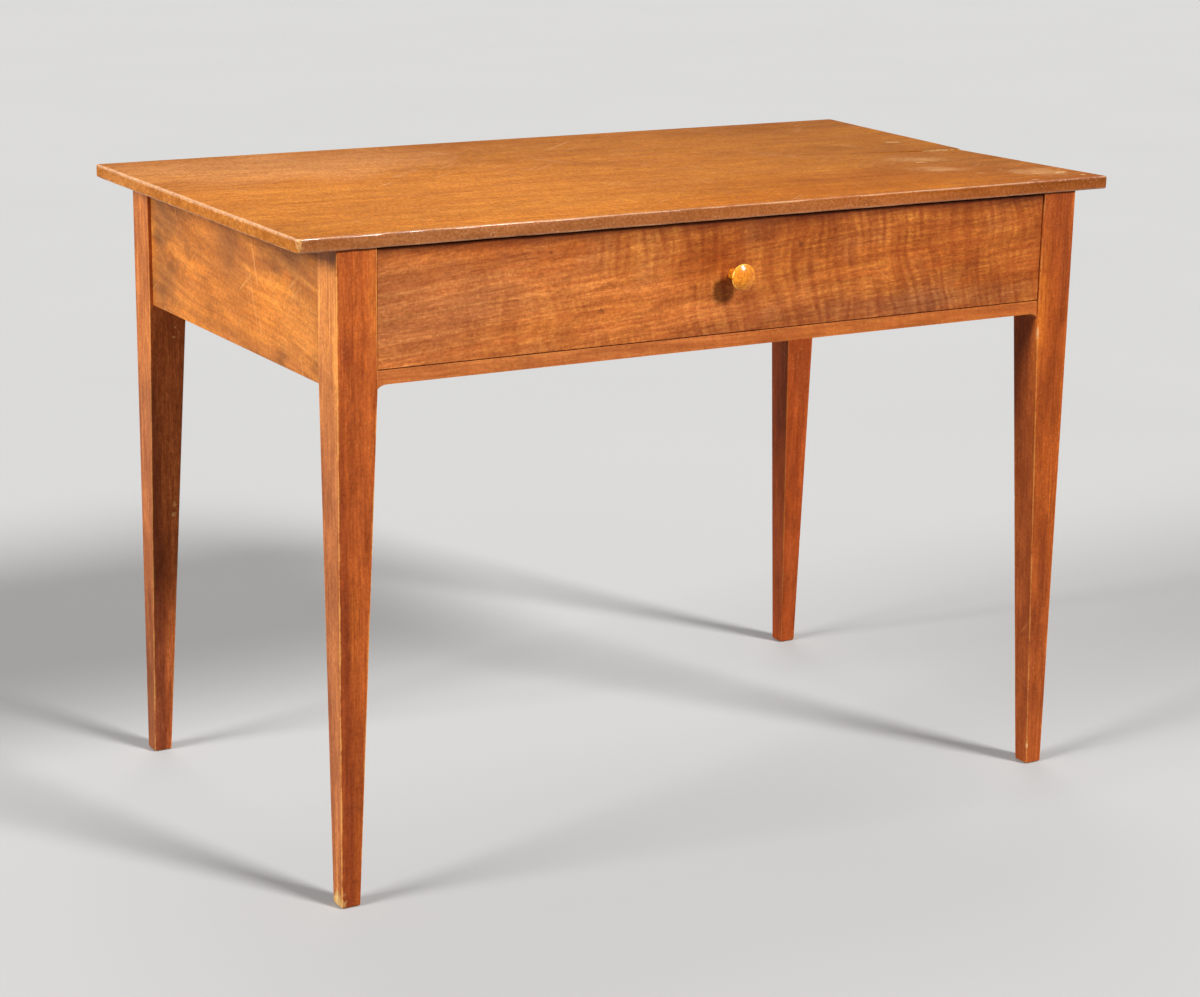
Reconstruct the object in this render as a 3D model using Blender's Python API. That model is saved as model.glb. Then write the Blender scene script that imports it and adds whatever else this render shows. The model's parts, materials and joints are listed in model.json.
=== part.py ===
"""Work table with square tapered legs and one drawer, modelled as its joined pieces.

Metres, +Z up, front towards -Y. The origin is on the floor under the middle of the whole table,
knob included. Inside the script the places are counted from the middle of the leg frame, and one
empty carries that frame to its place.
"""

import math

import bmesh
import bpy
from mathutils import Matrix, Vector

# Fits, and how far a cut runs past the face that it opens
FIT_GAP = 0.0003
CUT_PAST = 0.004
SMOOTH_BELOW = math.radians(35)

# Whole table
TABLE_HEIGHT = 0.711
LEG_FRAME_WIDTH = 0.9315
LEG_FRAME_DEPTH = 0.550

# Top
TOP_THICKNESS = 0.0145
TOP_END_OVERHANG = 0.043
TOP_FRONT_OVERHANG = 0.004
TOP_REAR_OVERHANG = 0.001
TOP_JOINT_PLACE = -0.003
TOP_CORNER_RADIUS = 0.003
TOP_ARRIS_RADIUS = 0.002
TOP_EDGE_STEPS = 3

# Legs
LEG_SQUARE = 0.0445
LEG_FOOT = 0.0213
LEG_ARRIS = 0.0008

# Aprons and their tenons
APRON_THICKNESS = 0.019
APRON_SETBACK = 0.004
APRON_RISE = 0.0015
TENON_THICKNESS = 0.008
TENON_LOW_SHOULDER = 0.006
TENON_HIGH_SHOULDER = 0.020
MORTISE_WALL = 0.002

# Front rail
DRAWER_OPENING_HEIGHT = 0.1253
RAIL_HEIGHT = 0.0207
RAIL_SETBACK = 0.002
RAIL_RELIEF = 0.006
RAIL_COVE_LENGTH = 0.011
RAIL_COVE_STEPS = 6
RAIL_TENON_HEIGHT = 0.010
RAIL_TENON_WIDTH = 0.009
RAIL_TENON_SPACING = 0.020

# Runners, guides and stops
RUNNER_BEARING = 0.0255
RUNNER_HEIGHT = 0.018
RUNNER_TENON_WIDTH = 0.014
RUNNER_TENON_HEIGHT = 0.008
RUNNER_TENON_LENGTH = 0.010
GUIDE_HEIGHT = 0.020
GUIDE_SCREW_SPACING = 0.300
STOP_WIDTH = 0.045
STOP_HEIGHT = 0.005
STOP_SPACING = 0.500

# Screws
SCREW_SHANK_DIAMETER = 0.004
SCREW_HEAD_DIAMETER = 0.0085
SCREW_HEAD_HEIGHT = 0.0028
SCREW_SLOT_WIDTH = 0.0010
SCREW_SLOT_DEPTH = 0.0012
SCREW_POINT_LENGTH = 0.005
SCREW_SIDES = 16
SCREW_HEAD_STEPS = 4
POCKET_DIAMETER = 0.011
POCKET_RUN = 0.060
POCKET_TILT = math.radians(15)
POCKET_SEAT = 0.024
TOP_SCREW_BITE = 0.008
TOP_SCREW_SIDE_SPACING = 0.260
TOP_SCREW_REAR_SPACING = 0.280
GUIDE_SCREW_SINK = 0.004
GUIDE_SCREW_BITE = 0.010

# Drawer
DRAWER_SIDE_GAP = 0.001
DRAWER_LOW_GAP = 0.001
DRAWER_HIGH_GAP = 0.0018
DRAWER_REAR_SPACE = 0.020
DRAWER_FRONT_THICKNESS = 0.018
DRAWER_SIDE_THICKNESS = 0.012
DRAWER_SIDE_DROP = 0.003
DRAWER_BACK_THICKNESS = 0.012
DRAWER_BACK_DROP = 0.006
DOVETAIL_LAP = 0.005
DOVETAIL_PIN = 0.007
DOVETAIL_SLOPE = 1 / 7
FRONT_TAILS = 4
REAR_TAILS = 3
BOTTOM_THICKNESS = 0.008
BOTTOM_TONGUE = 0.005
BOTTOM_TONGUE_MARGIN = 0.001
BOTTOM_BEVEL = 0.025
GROOVE_RISE = 0.010
GROOVE_DEPTH = 0.006
NAIL_SHANK = 0.002
NAIL_HEAD = 0.0044
NAIL_HEAD_HEIGHT = 0.001
NAIL_POINT = 0.004
NAIL_BITE = 0.014
NAIL_SPACING = 0.260
NAIL_SIDES = 4

# Knob
KNOB_DIAMETER = 0.0287
KNOB_PROJECTION = 0.027
KNOB_DOME = 0.0035
KNOB_RIM = 0.0042
KNOB_NECK_DIAMETER = 0.0105
KNOB_NECK_PLACE = 0.0065
KNOB_BASE_DIAMETER = 0.013
KNOB_RISE = 0.0026
KNOB_TENON_DIAMETER = 0.010
KNOB_SIDES = 40
KNOB_ARC_STEPS = 8
WEDGE_LENGTH = 0.010
WEDGE_WIDTH = 0.007
WEDGE_THICK_END = 0.0018
WEDGE_THIN_END = 0.0008

# Levels, worked out downwards from the top
UNDERSIDE = TABLE_HEIGHT - TOP_THICKNESS
FRAME_TOP = UNDERSIDE - FIT_GAP
RAIL_TOP = UNDERSIDE - DRAWER_OPENING_HEIGHT
RAIL_BOTTOM = RAIL_TOP - RAIL_HEIGHT
APRON_BOTTOM = RAIL_BOTTOM + APRON_RISE

# Planes, each as a distance from the middle of the leg frame
HALF_WIDTH = LEG_FRAME_WIDTH / 2
HALF_DEPTH = LEG_FRAME_DEPTH / 2
LEG_INNER_X = HALF_WIDTH - LEG_SQUARE
LEG_INNER_Y = HALF_DEPTH - LEG_SQUARE
APRON_MIDDLE = APRON_SETBACK + APRON_THICKNESS / 2
APRON_INNER_X = HALF_WIDTH - APRON_SETBACK - APRON_THICKNESS
APRON_INNER_Y = HALF_DEPTH - APRON_SETBACK - APRON_THICKNESS
TENON_LENGTH = LEG_SQUARE - APRON_MIDDLE - TENON_THICKNESS / 2 - MORTISE_WALL
RAIL_FRONT = -HALF_DEPTH + RAIL_SETBACK
RAIL_REAR = -LEG_INNER_Y
RUNNER_INNER_X = LEG_INNER_X - RUNNER_BEARING
TOP_HALF_LENGTH = HALF_WIDTH + TOP_END_OVERHANG
TOP_FRONT = -HALF_DEPTH - TOP_FRONT_OVERHANG
TOP_REAR = HALF_DEPTH + TOP_REAR_OVERHANG

# The drawer's own planes, counted from the middle of its face at the level of the runners
DRAWER_HALF_WIDTH = LEG_INNER_X - DRAWER_SIDE_GAP
DRAWER_LENGTH = APRON_INNER_Y - DRAWER_REAR_SPACE - RAIL_FRONT
FRONT_LOW = DRAWER_LOW_GAP
FRONT_HIGH = DRAWER_OPENING_HEIGHT - DRAWER_HIGH_GAP
SIDE_LOW = FIT_GAP
SIDE_HIGH = FRONT_HIGH - DRAWER_SIDE_DROP
SIDE_INNER_X = DRAWER_HALF_WIDTH - DRAWER_SIDE_THICKNESS
BACK_FACE = DRAWER_LENGTH - DRAWER_BACK_THICKNESS
GROOVE_LOW = SIDE_LOW + GROOVE_RISE
GROOVE_HIGH = GROOVE_LOW + BOTTOM_TONGUE + 2 * FIT_GAP
BOTTOM_HIGH = GROOVE_HIGH - FIT_GAP
BOTTOM_LOW = BOTTOM_HIGH - BOTTOM_THICKNESS
BOTTOM_FRONT = DRAWER_FRONT_THICKNESS - GROOVE_DEPTH + FIT_GAP
BOTTOM_HALF_WIDTH = SIDE_INNER_X + GROOVE_DEPTH - FIT_GAP
BACK_LOW = BOTTOM_HIGH + FIT_GAP
BACK_HIGH = SIDE_HIGH - DRAWER_BACK_DROP
KNOB_HEIGHT = (FRONT_LOW + FRONT_HIGH) / 2 + KNOB_RISE

# The leg frame's middle, from the middle of the whole table
FRONT_REACH = max(KNOB_PROJECTION - RAIL_FRONT, -TOP_FRONT)
FRAME_PLACE_Y = (FRONT_REACH - TOP_REAR) / 2

HANDS = {"left": -1, "right": 1}
ENDS = {"front": -1, "rear": 1}

# Colour, roughness and metallic value of each finish
FINISHES = {
    "top": ((0.50, 0.180, 0.045), 0.42, 0.0),
    "leg": ((0.36, 0.088, 0.024), 0.45, 0.0),
    "apron": ((0.46, 0.160, 0.040), 0.48, 0.0),
    "rail": ((0.42, 0.130, 0.036), 0.45, 0.0),
    "face": ((0.40, 0.115, 0.034), 0.42, 0.0),
    "inside": ((0.52, 0.330, 0.160), 0.75, 0.0),
    "knob": ((0.62, 0.260, 0.045), 0.22, 0.0),
    "iron": ((0.16, 0.145, 0.130), 0.50, 1.0),
}


def clear_scene():
    """Remove every object that the scene starts with."""
    for obj in list(bpy.data.objects):
        bpy.data.objects.remove(obj, do_unlink=True)


def empty(name, parent=None, location=(0, 0, 0)):
    """An empty that carries other objects."""
    obj = bpy.data.objects.new(name, None)
    bpy.context.scene.collection.objects.link(obj)
    obj.parent = parent
    obj.location = location
    return obj


def finished(name, finish):
    """A material of its own for one piece."""
    colour, roughness, metallic = FINISHES[finish]
    material = bpy.data.materials.new(name)
    material.use_nodes = True
    shader = material.node_tree.nodes["Principled BSDF"]
    shader.inputs["Base Color"].default_value = (*colour, 1.0)
    shader.inputs["Roughness"].default_value = roughness
    shader.inputs["Metallic"].default_value = metallic
    material.diffuse_color = (*colour, 1.0)
    return material


def place(name, bm, parent, location, direction=None):
    """Make an object of a bmesh; direction, where given, is where its local +Z points."""
    bmesh.ops.recalc_face_normals(bm, faces=bm.faces)
    mesh = bpy.data.meshes.new(name)
    bm.to_mesh(mesh)
    bm.free()
    obj = bpy.data.objects.new(name, mesh)
    bpy.context.scene.collection.objects.link(obj)
    obj.parent = parent
    obj.location = location
    if direction is not None:
        obj.rotation_euler = Vector(direction).to_track_quat("Z", "Y").to_euler()
    return obj


def piece(name, bm, parent, finish, location=(0, 0, 0), direction=None, smooth=False):
    """One named piece of the table with its own material."""
    obj = place(name, bm, parent, location, direction)
    obj.data.materials.append(finished(name, finish))
    if smooth:
        obj.data.shade_smooth()
        obj.data.set_sharp_from_angle(angle=SMOOTH_BELOW)
    return obj


def shape_with(operation, targets, bm, parent, location=(0, 0, 0), direction=None):
    """Cut a shape out of each target, or join it to them."""
    tool = place(f"{targets[0].name}_{operation.lower()}", bm, parent, location, direction)
    tool.hide_render = True
    tool.display_type = "WIRE"
    for target in targets:
        modifier = target.modifiers.new(tool.name, "BOOLEAN")
        modifier.operation = operation
        modifier.solver = "EXACT"
        modifier.object = tool


def box(low, high):
    """A block between two opposite corners, given in any order."""
    low, high = Vector(low), Vector(high)
    sides = [abs(b - a) for a, b in zip(low, high)]
    bm = bmesh.new()
    bmesh.ops.create_cube(bm, matrix=Matrix.LocRotScale((low + high) / 2, None, Vector(sides)))
    return bm


def prism(outline, axis, start, end):
    """A flat outline pushed along an axis; its points are the two other coordinates, in X, Y, Z order."""
    bm = bmesh.new()
    corners = []
    for point in outline:
        place_3d = list(point)
        place_3d.insert("xyz".index(axis), start)
        corners.append(bm.verts.new(place_3d))
    face = bm.faces.new(corners)
    moved = bmesh.ops.extrude_face_region(bm, geom=[face])
    push = Vector([end - start if name == axis else 0.0 for name in "xyz"])
    new_corners = [item for item in moved["geom"] if isinstance(item, bmesh.types.BMVert)]
    bmesh.ops.translate(bm, verts=new_corners, vec=push)
    return bm


def turned(profile, sides, start=0.0):
    """A profile of (radius, height) points, from axis to axis, turned about local Z from a start angle."""
    bm = bmesh.new()
    points = [bm.verts.new((radius, 0, height)) for radius, height in profile]
    edges = [bm.edges.new(pair) for pair in zip(points, points[1:])]
    bmesh.ops.spin(
        bm, geom=points + edges, cent=(0, 0, 0), axis=(0, 0, 1), angle=math.tau, steps=sides, use_merge=True
    )
    bmesh.ops.remove_doubles(bm, verts=bm.verts, dist=FIT_GAP / 10)
    bmesh.ops.rotate(bm, verts=bm.verts, cent=(0, 0, 0), matrix=Matrix.Rotation(start, 3, "Z"))
    return bm


def ellipse(centre, across, along, start, end, steps):
    """Points on an arc of an ellipse; angles are in degrees, counted from the first coordinate."""
    points = []
    for step in range(steps + 1):
        angle = math.radians(start + (end - start) * step / steps)
        points.append((centre[0] + across * math.cos(angle), centre[1] + along * math.sin(angle)))
    return points


# Legs, aprons and rail


def tapered_leg(end_name, hand_name, parent):
    """One leg, tapered on its inner faces from the rail down; its origin is its outer corner at the floor."""
    inward_x, inward_y = -HANDS[hand_name], -ENDS[end_name]
    bm = bmesh.new()
    loops = []
    for height, side in ((0.0, LEG_FOOT), (RAIL_BOTTOM, LEG_SQUARE), (FRAME_TOP, LEG_SQUARE)):
        corners = ((0, 0), (side, 0), (side, side), (0, side))
        loops.append([bm.verts.new((inward_x * x, inward_y * y, height)) for x, y in corners])
    bm.faces.new(loops[0])
    bm.faces.new(loops[-1])
    arrises = []
    for lower, upper in zip(loops, loops[1:]):
        for here, there in ((0, 1), (1, 2), (2, 3), (3, 0)):
            bm.faces.new((lower[here], lower[there], upper[there], upper[here]))
            arrises.append(bm.edges.get((lower[here], upper[here])))
    bmesh.ops.recalc_face_normals(bm, faces=bm.faces)
    bmesh.ops.bevel(bm, geom=arrises, offset=LEG_ARRIS, segments=1, affect="EDGES")
    outer_corner = (HANDS[hand_name] * HALF_WIDTH, ENDS[end_name] * HALF_DEPTH, 0)
    return piece(f"{end_name}_{hand_name}_leg", bm, parent, "leg", outer_corner)


def grown(low, high, gap):
    """Two corners moved apart by a gap all round."""
    lows = [min(a, b) - gap for a, b in zip(low, high)]
    highs = [max(a, b) + gap for a, b in zip(low, high)]
    return lows, highs


def tenon(board, socket_in, low, high, parent):
    """Join a tenon, which starts inside its board, to the board, and cut the mortise for it."""
    shape_with("UNION", [board], box(low, high), parent)
    shape_with("DIFFERENCE", [socket_in], box(*grown(low, high, FIT_GAP)), parent)


def side_apron(hand_name, legs, parent):
    """The apron at one end of the table, tenoned into a front leg and a rear leg."""
    hand = HANDS[hand_name]
    reach = LEG_INNER_Y - FIT_GAP
    low = (hand * APRON_INNER_X, -reach, APRON_BOTTOM)
    high = (hand * (APRON_INNER_X + APRON_THICKNESS), reach, FRAME_TOP)
    apron = piece(f"{hand_name}_apron", box(low, high), parent, "apron")
    middle = hand * (HALF_WIDTH - APRON_MIDDLE)
    for end_name, end in ENDS.items():
        tenon(
            apron,
            legs[end_name, hand_name],
            (middle - TENON_THICKNESS / 2, end * (reach - CUT_PAST), APRON_BOTTOM + TENON_LOW_SHOULDER),
            (middle + TENON_THICKNESS / 2, end * (reach + TENON_LENGTH), FRAME_TOP - TENON_HIGH_SHOULDER),
            parent,
        )
    return apron


def rear_apron(legs, parent):
    """The apron along the back, tenoned into the two rear legs."""
    reach = LEG_INNER_X - FIT_GAP
    low = (-reach, APRON_INNER_Y, APRON_BOTTOM)
    high = (reach, APRON_INNER_Y + APRON_THICKNESS, FRAME_TOP)
    apron = piece("rear_apron", box(low, high), parent, "apron")
    middle = HALF_DEPTH - APRON_MIDDLE
    for hand_name, hand in HANDS.items():
        tenon(
            apron,
            legs["rear", hand_name],
            (hand * (reach - CUT_PAST), middle - TENON_THICKNESS / 2, APRON_BOTTOM + TENON_LOW_SHOULDER),
            (hand * (reach + TENON_LENGTH), middle + TENON_THICKNESS / 2, FRAME_TOP - TENON_HIGH_SHOULDER),
            parent,
        )
    return apron


def front_rail(legs, parent):
    """The rail under the drawer, laid flat: a relief between two coves below, twin tenons at each end."""
    reach = LEG_INNER_X - FIT_GAP
    cove_end = reach - RAIL_COVE_LENGTH
    right_cove = ellipse((cove_end, RAIL_BOTTOM), RAIL_COVE_LENGTH, RAIL_RELIEF, 0, 90, RAIL_COVE_STEPS)
    left_cove = [(-x, z) for x, z in reversed(right_cove)]
    outline = [(-reach, RAIL_TOP), (reach, RAIL_TOP), *right_cove, *left_cove]
    rail = piece("front_rail", prism(outline, "y", RAIL_FRONT, RAIL_REAR), parent, "rail")
    centre_y = (RAIL_FRONT + RAIL_REAR) / 2
    centre_z = RAIL_TOP - RAIL_HEIGHT / 2
    for hand_name, hand in HANDS.items():
        for end in ENDS.values():
            tenon_y = centre_y + end * RAIL_TENON_SPACING / 2
            tenon(
                rail,
                legs["front", hand_name],
                (hand * (reach - CUT_PAST), tenon_y - RAIL_TENON_WIDTH / 2, centre_z - RAIL_TENON_HEIGHT / 2),
                (
                    hand * (reach + TENON_LENGTH),
                    tenon_y + RAIL_TENON_WIDTH / 2,
                    centre_z + RAIL_TENON_HEIGHT / 2,
                ),
                parent,
            )
    return rail


# What carries the drawer


def runner(hand_name, rail, apron, parent):
    """A runner between rail and rear apron, notched round the rear leg, with a stub tenon at each end."""
    hand = HANDS[hand_name]
    outer, notch = APRON_INNER_X - FIT_GAP, LEG_INNER_X - FIT_GAP
    front, leg_end, rear = RAIL_REAR + FIT_GAP, LEG_INNER_Y - FIT_GAP, APRON_INNER_Y - FIT_GAP
    plan = (
        (outer, front),
        (RUNNER_INNER_X, front),
        (RUNNER_INNER_X, rear),
        (notch, rear),
        (notch, leg_end),
        (outer, leg_end),
    )
    outline = [(hand * x, y) for x, y in plan]
    bm = prism(outline, "z", RAIL_TOP - RUNNER_HEIGHT, RAIL_TOP)
    board = piece(f"{hand_name}_runner", bm, parent, "inside")
    centre_x = hand * (RUNNER_INNER_X + notch) / 2
    centre_z = RAIL_TOP - (RAIL_HEIGHT - RAIL_RELIEF) / 2
    for shoulder, direction, socket_in in ((front, -1, rail), (rear, 1, apron)):
        tenon(
            board,
            socket_in,
            (
                centre_x - RUNNER_TENON_WIDTH / 2,
                shoulder - direction * CUT_PAST,
                centre_z - RUNNER_TENON_HEIGHT / 2,
            ),
            (
                centre_x + RUNNER_TENON_WIDTH / 2,
                shoulder + direction * RUNNER_TENON_LENGTH,
                centre_z + RUNNER_TENON_HEIGHT / 2,
            ),
            parent,
        )
    return board


def guide(hand_name, runner_board, parent):
    """A strip on the runner that fills the space between apron and leg face, held by two screws."""
    hand = HANDS[hand_name]
    reach = LEG_INNER_Y - FIT_GAP
    low_z = RAIL_TOP + FIT_GAP
    high_z = low_z + GUIDE_HEIGHT
    low = (hand * LEG_INNER_X, -reach, low_z)
    high = (hand * (APRON_INNER_X - FIT_GAP), reach, high_z)
    strip = piece(f"{hand_name}_guide", box(low, high), parent, "inside")
    length = GUIDE_HEIGHT - GUIDE_SCREW_SINK + GUIDE_SCREW_BITE
    for end_name, end in ENDS.items():
        middle = hand * (LEG_INNER_X + APRON_INNER_X) / 2
        seat = (middle, end * GUIDE_SCREW_SPACING / 2, high_z - GUIDE_SCREW_SINK)
        name = f"{hand_name}_{end_name}_guide_screw"
        screw(name, seat, (0, 0, -1), length, GUIDE_SCREW_SINK + CUT_PAST, strip, runner_board, parent)


def stop(hand_name, parent):
    """A block on the rail that the back of the drawer front comes up against."""
    middle = HANDS[hand_name] * STOP_SPACING / 2
    low = (middle - STOP_WIDTH / 2, RAIL_FRONT + DRAWER_FRONT_THICKNESS + FIT_GAP, RAIL_TOP + FIT_GAP)
    high = (middle + STOP_WIDTH / 2, RAIL_REAR, RAIL_TOP + FIT_GAP + STOP_HEIGHT)
    piece(f"{hand_name}_stop", box(low, high), parent, "inside")


def screw(name, seat, direction, length, pocket_run, board, far_board, parent):
    """A slotted round-head screw whose head seats in a pocket; direction is where its point goes."""
    head_radius, shank_radius = SCREW_HEAD_DIAMETER / 2, SCREW_SHANK_DIAMETER / 2
    head = ellipse((0, -FIT_GAP), head_radius, SCREW_HEAD_HEIGHT, -90, 0, SCREW_HEAD_STEPS)
    shank = [(shank_radius, -FIT_GAP), (shank_radius, length - SCREW_POINT_LENGTH), (0, length)]
    body = piece(name, turned(head + shank, SCREW_SIDES), parent, "iron", seat, direction, smooth=True)
    crown = -FIT_GAP - SCREW_HEAD_HEIGHT
    slot_low = (-head_radius - CUT_PAST, -SCREW_SLOT_WIDTH / 2, crown - CUT_PAST)
    slot_high = (head_radius + CUT_PAST, SCREW_SLOT_WIDTH / 2, crown + SCREW_SLOT_DEPTH)
    shape_with("DIFFERENCE", [body], box(slot_low, slot_high), parent, seat, direction)
    hole_radius = shank_radius + FIT_GAP
    hole = [(0, -CUT_PAST), (hole_radius, -CUT_PAST), (hole_radius, length + FIT_GAP), (0, length + FIT_GAP)]
    shape_with("DIFFERENCE", [board, far_board], turned(hole, SCREW_SIDES), parent, seat, direction)
    pocket_radius = POCKET_DIAMETER / 2
    pocket = [(0, -pocket_run), (pocket_radius, -pocket_run), (pocket_radius, 0), (0, 0)]
    shape_with("DIFFERENCE", [board], turned(pocket, SCREW_SIDES), parent, seat, direction)


# Top


def top_board(name, outer_y, joint_y, parent):
    """One board of the top, with its outer corners rounded and its outer arrises eased."""
    low = (-TOP_HALF_LENGTH, outer_y, UNDERSIDE)
    high = (TOP_HALF_LENGTH, joint_y, TABLE_HEIGHT)
    bm = box(low, high)
    near = FIT_GAP / 2
    corners = [e for e in bm.edges if all(abs(v.co.y - outer_y) < near for v in e.verts) and upright(e)]
    round_over(bm, corners, TOP_CORNER_RADIUS)
    rims = [e for e in bm.edges if level(e) and not all(abs(v.co.y - joint_y) < near for v in e.verts)]
    round_over(bm, rims, TOP_ARRIS_RADIUS)
    return piece(name, bm, parent, "top")


def round_over(bm, edges, radius):
    """Round the given edges of a board."""
    bmesh.ops.bevel(bm, geom=edges, offset=radius, segments=TOP_EDGE_STEPS, profile=0.5, affect="EDGES")


def upright(edge):
    """True for an edge that runs up and down."""
    return abs(edge.verts[0].co.z - edge.verts[1].co.z) > TOP_THICKNESS / 2


def level(edge):
    """True for an edge that lies at one height."""
    return abs(edge.verts[0].co.z - edge.verts[1].co.z) < FIT_GAP / 2


def top_screws(boards, aprons, parent):
    """Screws through pockets in the aprons, slanted up into the top."""
    length = POCKET_SEAT + TOP_SCREW_BITE
    drop, lean = POCKET_SEAT * math.cos(POCKET_TILT), POCKET_SEAT * math.sin(POCKET_TILT)
    up, out = math.cos(POCKET_TILT), math.sin(POCKET_TILT)
    for hand_name, hand in HANDS.items():
        for end_name, end in ENDS.items():
            seat = (
                hand * (HALF_WIDTH - APRON_MIDDLE - lean),
                end * TOP_SCREW_SIDE_SPACING / 2 + TOP_JOINT_PLACE,
                UNDERSIDE - drop,
            )
            name = f"{hand_name}_{end_name}_top_screw"
            way = (hand * out, 0, up)
            screw(name, seat, way, length, POCKET_RUN, aprons[hand_name], boards[end_name], parent)
    for name, place_x in (("left", -1), ("middle", 0), ("right", 1)):
        seat = (place_x * TOP_SCREW_REAR_SPACING, HALF_DEPTH - APRON_MIDDLE - lean, UNDERSIDE - drop)
        way = (0, out, up)
        screw(f"rear_{name}_top_screw", seat, way, length, POCKET_RUN, aprons["rear"], boards["rear"], parent)


# Drawer


def tail_places(low, high, count):
    """The middle of each tail, and half of a tail's width at its wide end."""
    pitch = (high - low) / count
    middles = [low + pitch * (number + 0.5) for number in range(count)]
    return middles, (pitch - DOVETAIL_PIN) / 2


def tail_outline(middle, half_wide, shoulder, tip, gap=0.0):
    """A tail's four corners as (y, z), from its shoulder to its tip and back, grown by a gap."""
    half_tip = half_wide + gap
    half_shoulder = half_tip - abs(tip - shoulder) * DOVETAIL_SLOPE
    return [
        (shoulder, middle - half_shoulder),
        (tip, middle - half_tip),
        (tip, middle + half_tip),
        (shoulder, middle + half_shoulder),
    ]


def socket_outline(middle, half_wide, tip, mouth, through):
    """The cut for a tail: the tail grown by the fit gap, run out past the board where the joint is open."""
    past = CUT_PAST if through else 0.0
    far_tip = tip + math.copysign(past, tip - mouth)
    return tail_outline(middle, half_wide + past * DOVETAIL_SLOPE, mouth, far_tip, FIT_GAP)


def drawer_side(hand_name, front, back, parent):
    """One drawer side, with tails at both ends, whose sockets are cut in the front and the back."""
    hand = HANDS[hand_name]
    front_shoulder, front_tip = DRAWER_FRONT_THICKNESS + FIT_GAP, DOVETAIL_LAP + FIT_GAP
    rear_shoulder, rear_tip = BACK_FACE - FIT_GAP, DRAWER_LENGTH
    front_middles, front_half = tail_places(SIDE_LOW, SIDE_HIGH, FRONT_TAILS)
    rear_middles, rear_half = tail_places(BACK_LOW, BACK_HIGH, REAR_TAILS)
    outline = [(front_shoulder, SIDE_HIGH)]
    for middle in reversed(front_middles):
        outline += reversed(tail_outline(middle, front_half, front_shoulder, front_tip))
    outline += [(front_shoulder, SIDE_LOW), (rear_tip, SIDE_LOW)]
    outline += [(rear_tip, BOTTOM_HIGH), (rear_shoulder, BOTTOM_HIGH)]
    for middle in rear_middles:
        outline += tail_outline(middle, rear_half, rear_shoulder, rear_tip)
    outline.append((rear_shoulder, SIDE_HIGH))
    outer, inner = hand * DRAWER_HALF_WIDTH, hand * SIDE_INNER_X
    side = piece(f"drawer_{hand_name}_side", prism(outline, "x", inner, outer), parent, "inside")
    groove_low = (inner - hand * CUT_PAST, front_tip - CUT_PAST, GROOVE_LOW)
    groove_high = (inner + hand * GROOVE_DEPTH, rear_tip + CUT_PAST, GROOVE_HIGH)
    shape_with("DIFFERENCE", [side], box(groove_low, groove_high), parent)
    cut_outer, cut_inner = outer + hand * CUT_PAST, inner - hand * FIT_GAP
    for middle in front_middles:
        cut = socket_outline(middle, front_half, DOVETAIL_LAP, DRAWER_FRONT_THICKNESS + CUT_PAST, False)
        shape_with("DIFFERENCE", [front], prism(cut, "x", cut_inner, cut_outer), parent)
    for middle in rear_middles:
        cut = socket_outline(middle, rear_half, DRAWER_LENGTH, BACK_FACE - CUT_PAST, True)
        shape_with("DIFFERENCE", [back], prism(cut, "x", cut_inner, cut_outer), parent)


def drawer_front(parent):
    """The drawer front, with a groove for the bottom and a hole for the knob."""
    low = (-DRAWER_HALF_WIDTH, 0, FRONT_LOW)
    high = (DRAWER_HALF_WIDTH, DRAWER_FRONT_THICKNESS, FRONT_HIGH)
    front = piece("drawer_front", box(low, high), parent, "face")
    groove_low = (-SIDE_INNER_X - GROOVE_DEPTH, DRAWER_FRONT_THICKNESS - GROOVE_DEPTH, GROOVE_LOW)
    groove_high = (SIDE_INNER_X + GROOVE_DEPTH, DRAWER_FRONT_THICKNESS + CUT_PAST, GROOVE_HIGH)
    shape_with("DIFFERENCE", [front], box(groove_low, groove_high), parent)
    radius = KNOB_TENON_DIAMETER / 2 + FIT_GAP
    inner, outer = -DRAWER_FRONT_THICKNESS - CUT_PAST, CUT_PAST
    hole = turned([(0, inner), (radius, inner), (radius, outer), (0, outer)], KNOB_SIDES)
    shape_with("DIFFERENCE", [front], hole, parent, (0, 0, KNOB_HEIGHT), (0, -1, 0))
    return front


def drawer_back(parent):
    """The drawer back, which stands on the bottom."""
    low = (-DRAWER_HALF_WIDTH, BACK_FACE, BACK_LOW)
    high = (DRAWER_HALF_WIDTH, DRAWER_LENGTH, BACK_HIGH)
    return piece("drawer_back", box(low, high), parent, "inside")


def drawer_bottom(parent):
    """The bottom panel, bevelled underneath to a tongue along its front and its ends."""
    tongue_end = BOTTOM_HALF_WIDTH - GROOVE_DEPTH - BOTTOM_TONGUE_MARGIN
    bevel_end = tongue_end - BOTTOM_BEVEL
    tongue_low = BOTTOM_HIGH - BOTTOM_TONGUE
    right = [
        (BOTTOM_HALF_WIDTH, BOTTOM_HIGH),
        (BOTTOM_HALF_WIDTH, tongue_low),
        (tongue_end, tongue_low),
        (bevel_end, BOTTOM_LOW),
    ]
    left = [(-x, z) for x, z in reversed(right)]
    panel = piece("drawer_bottom", prism(right + left, "y", BOTTOM_FRONT, DRAWER_LENGTH), parent, "inside")
    bevel_start = BOTTOM_FRONT + GROOVE_DEPTH + BOTTOM_TONGUE_MARGIN
    fall = BOTTOM_THICKNESS - BOTTOM_TONGUE
    front_bevel = [
        (BOTTOM_FRONT - CUT_PAST, tongue_low),
        (bevel_start, tongue_low),
        (bevel_start + 2 * BOTTOM_BEVEL, tongue_low - 2 * fall),
        (BOTTOM_FRONT - CUT_PAST, tongue_low - 2 * fall),
    ]
    reach = BOTTOM_HALF_WIDTH + CUT_PAST
    shape_with("DIFFERENCE", [panel], prism(front_bevel, "x", -reach, reach), parent)
    return panel


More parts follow.
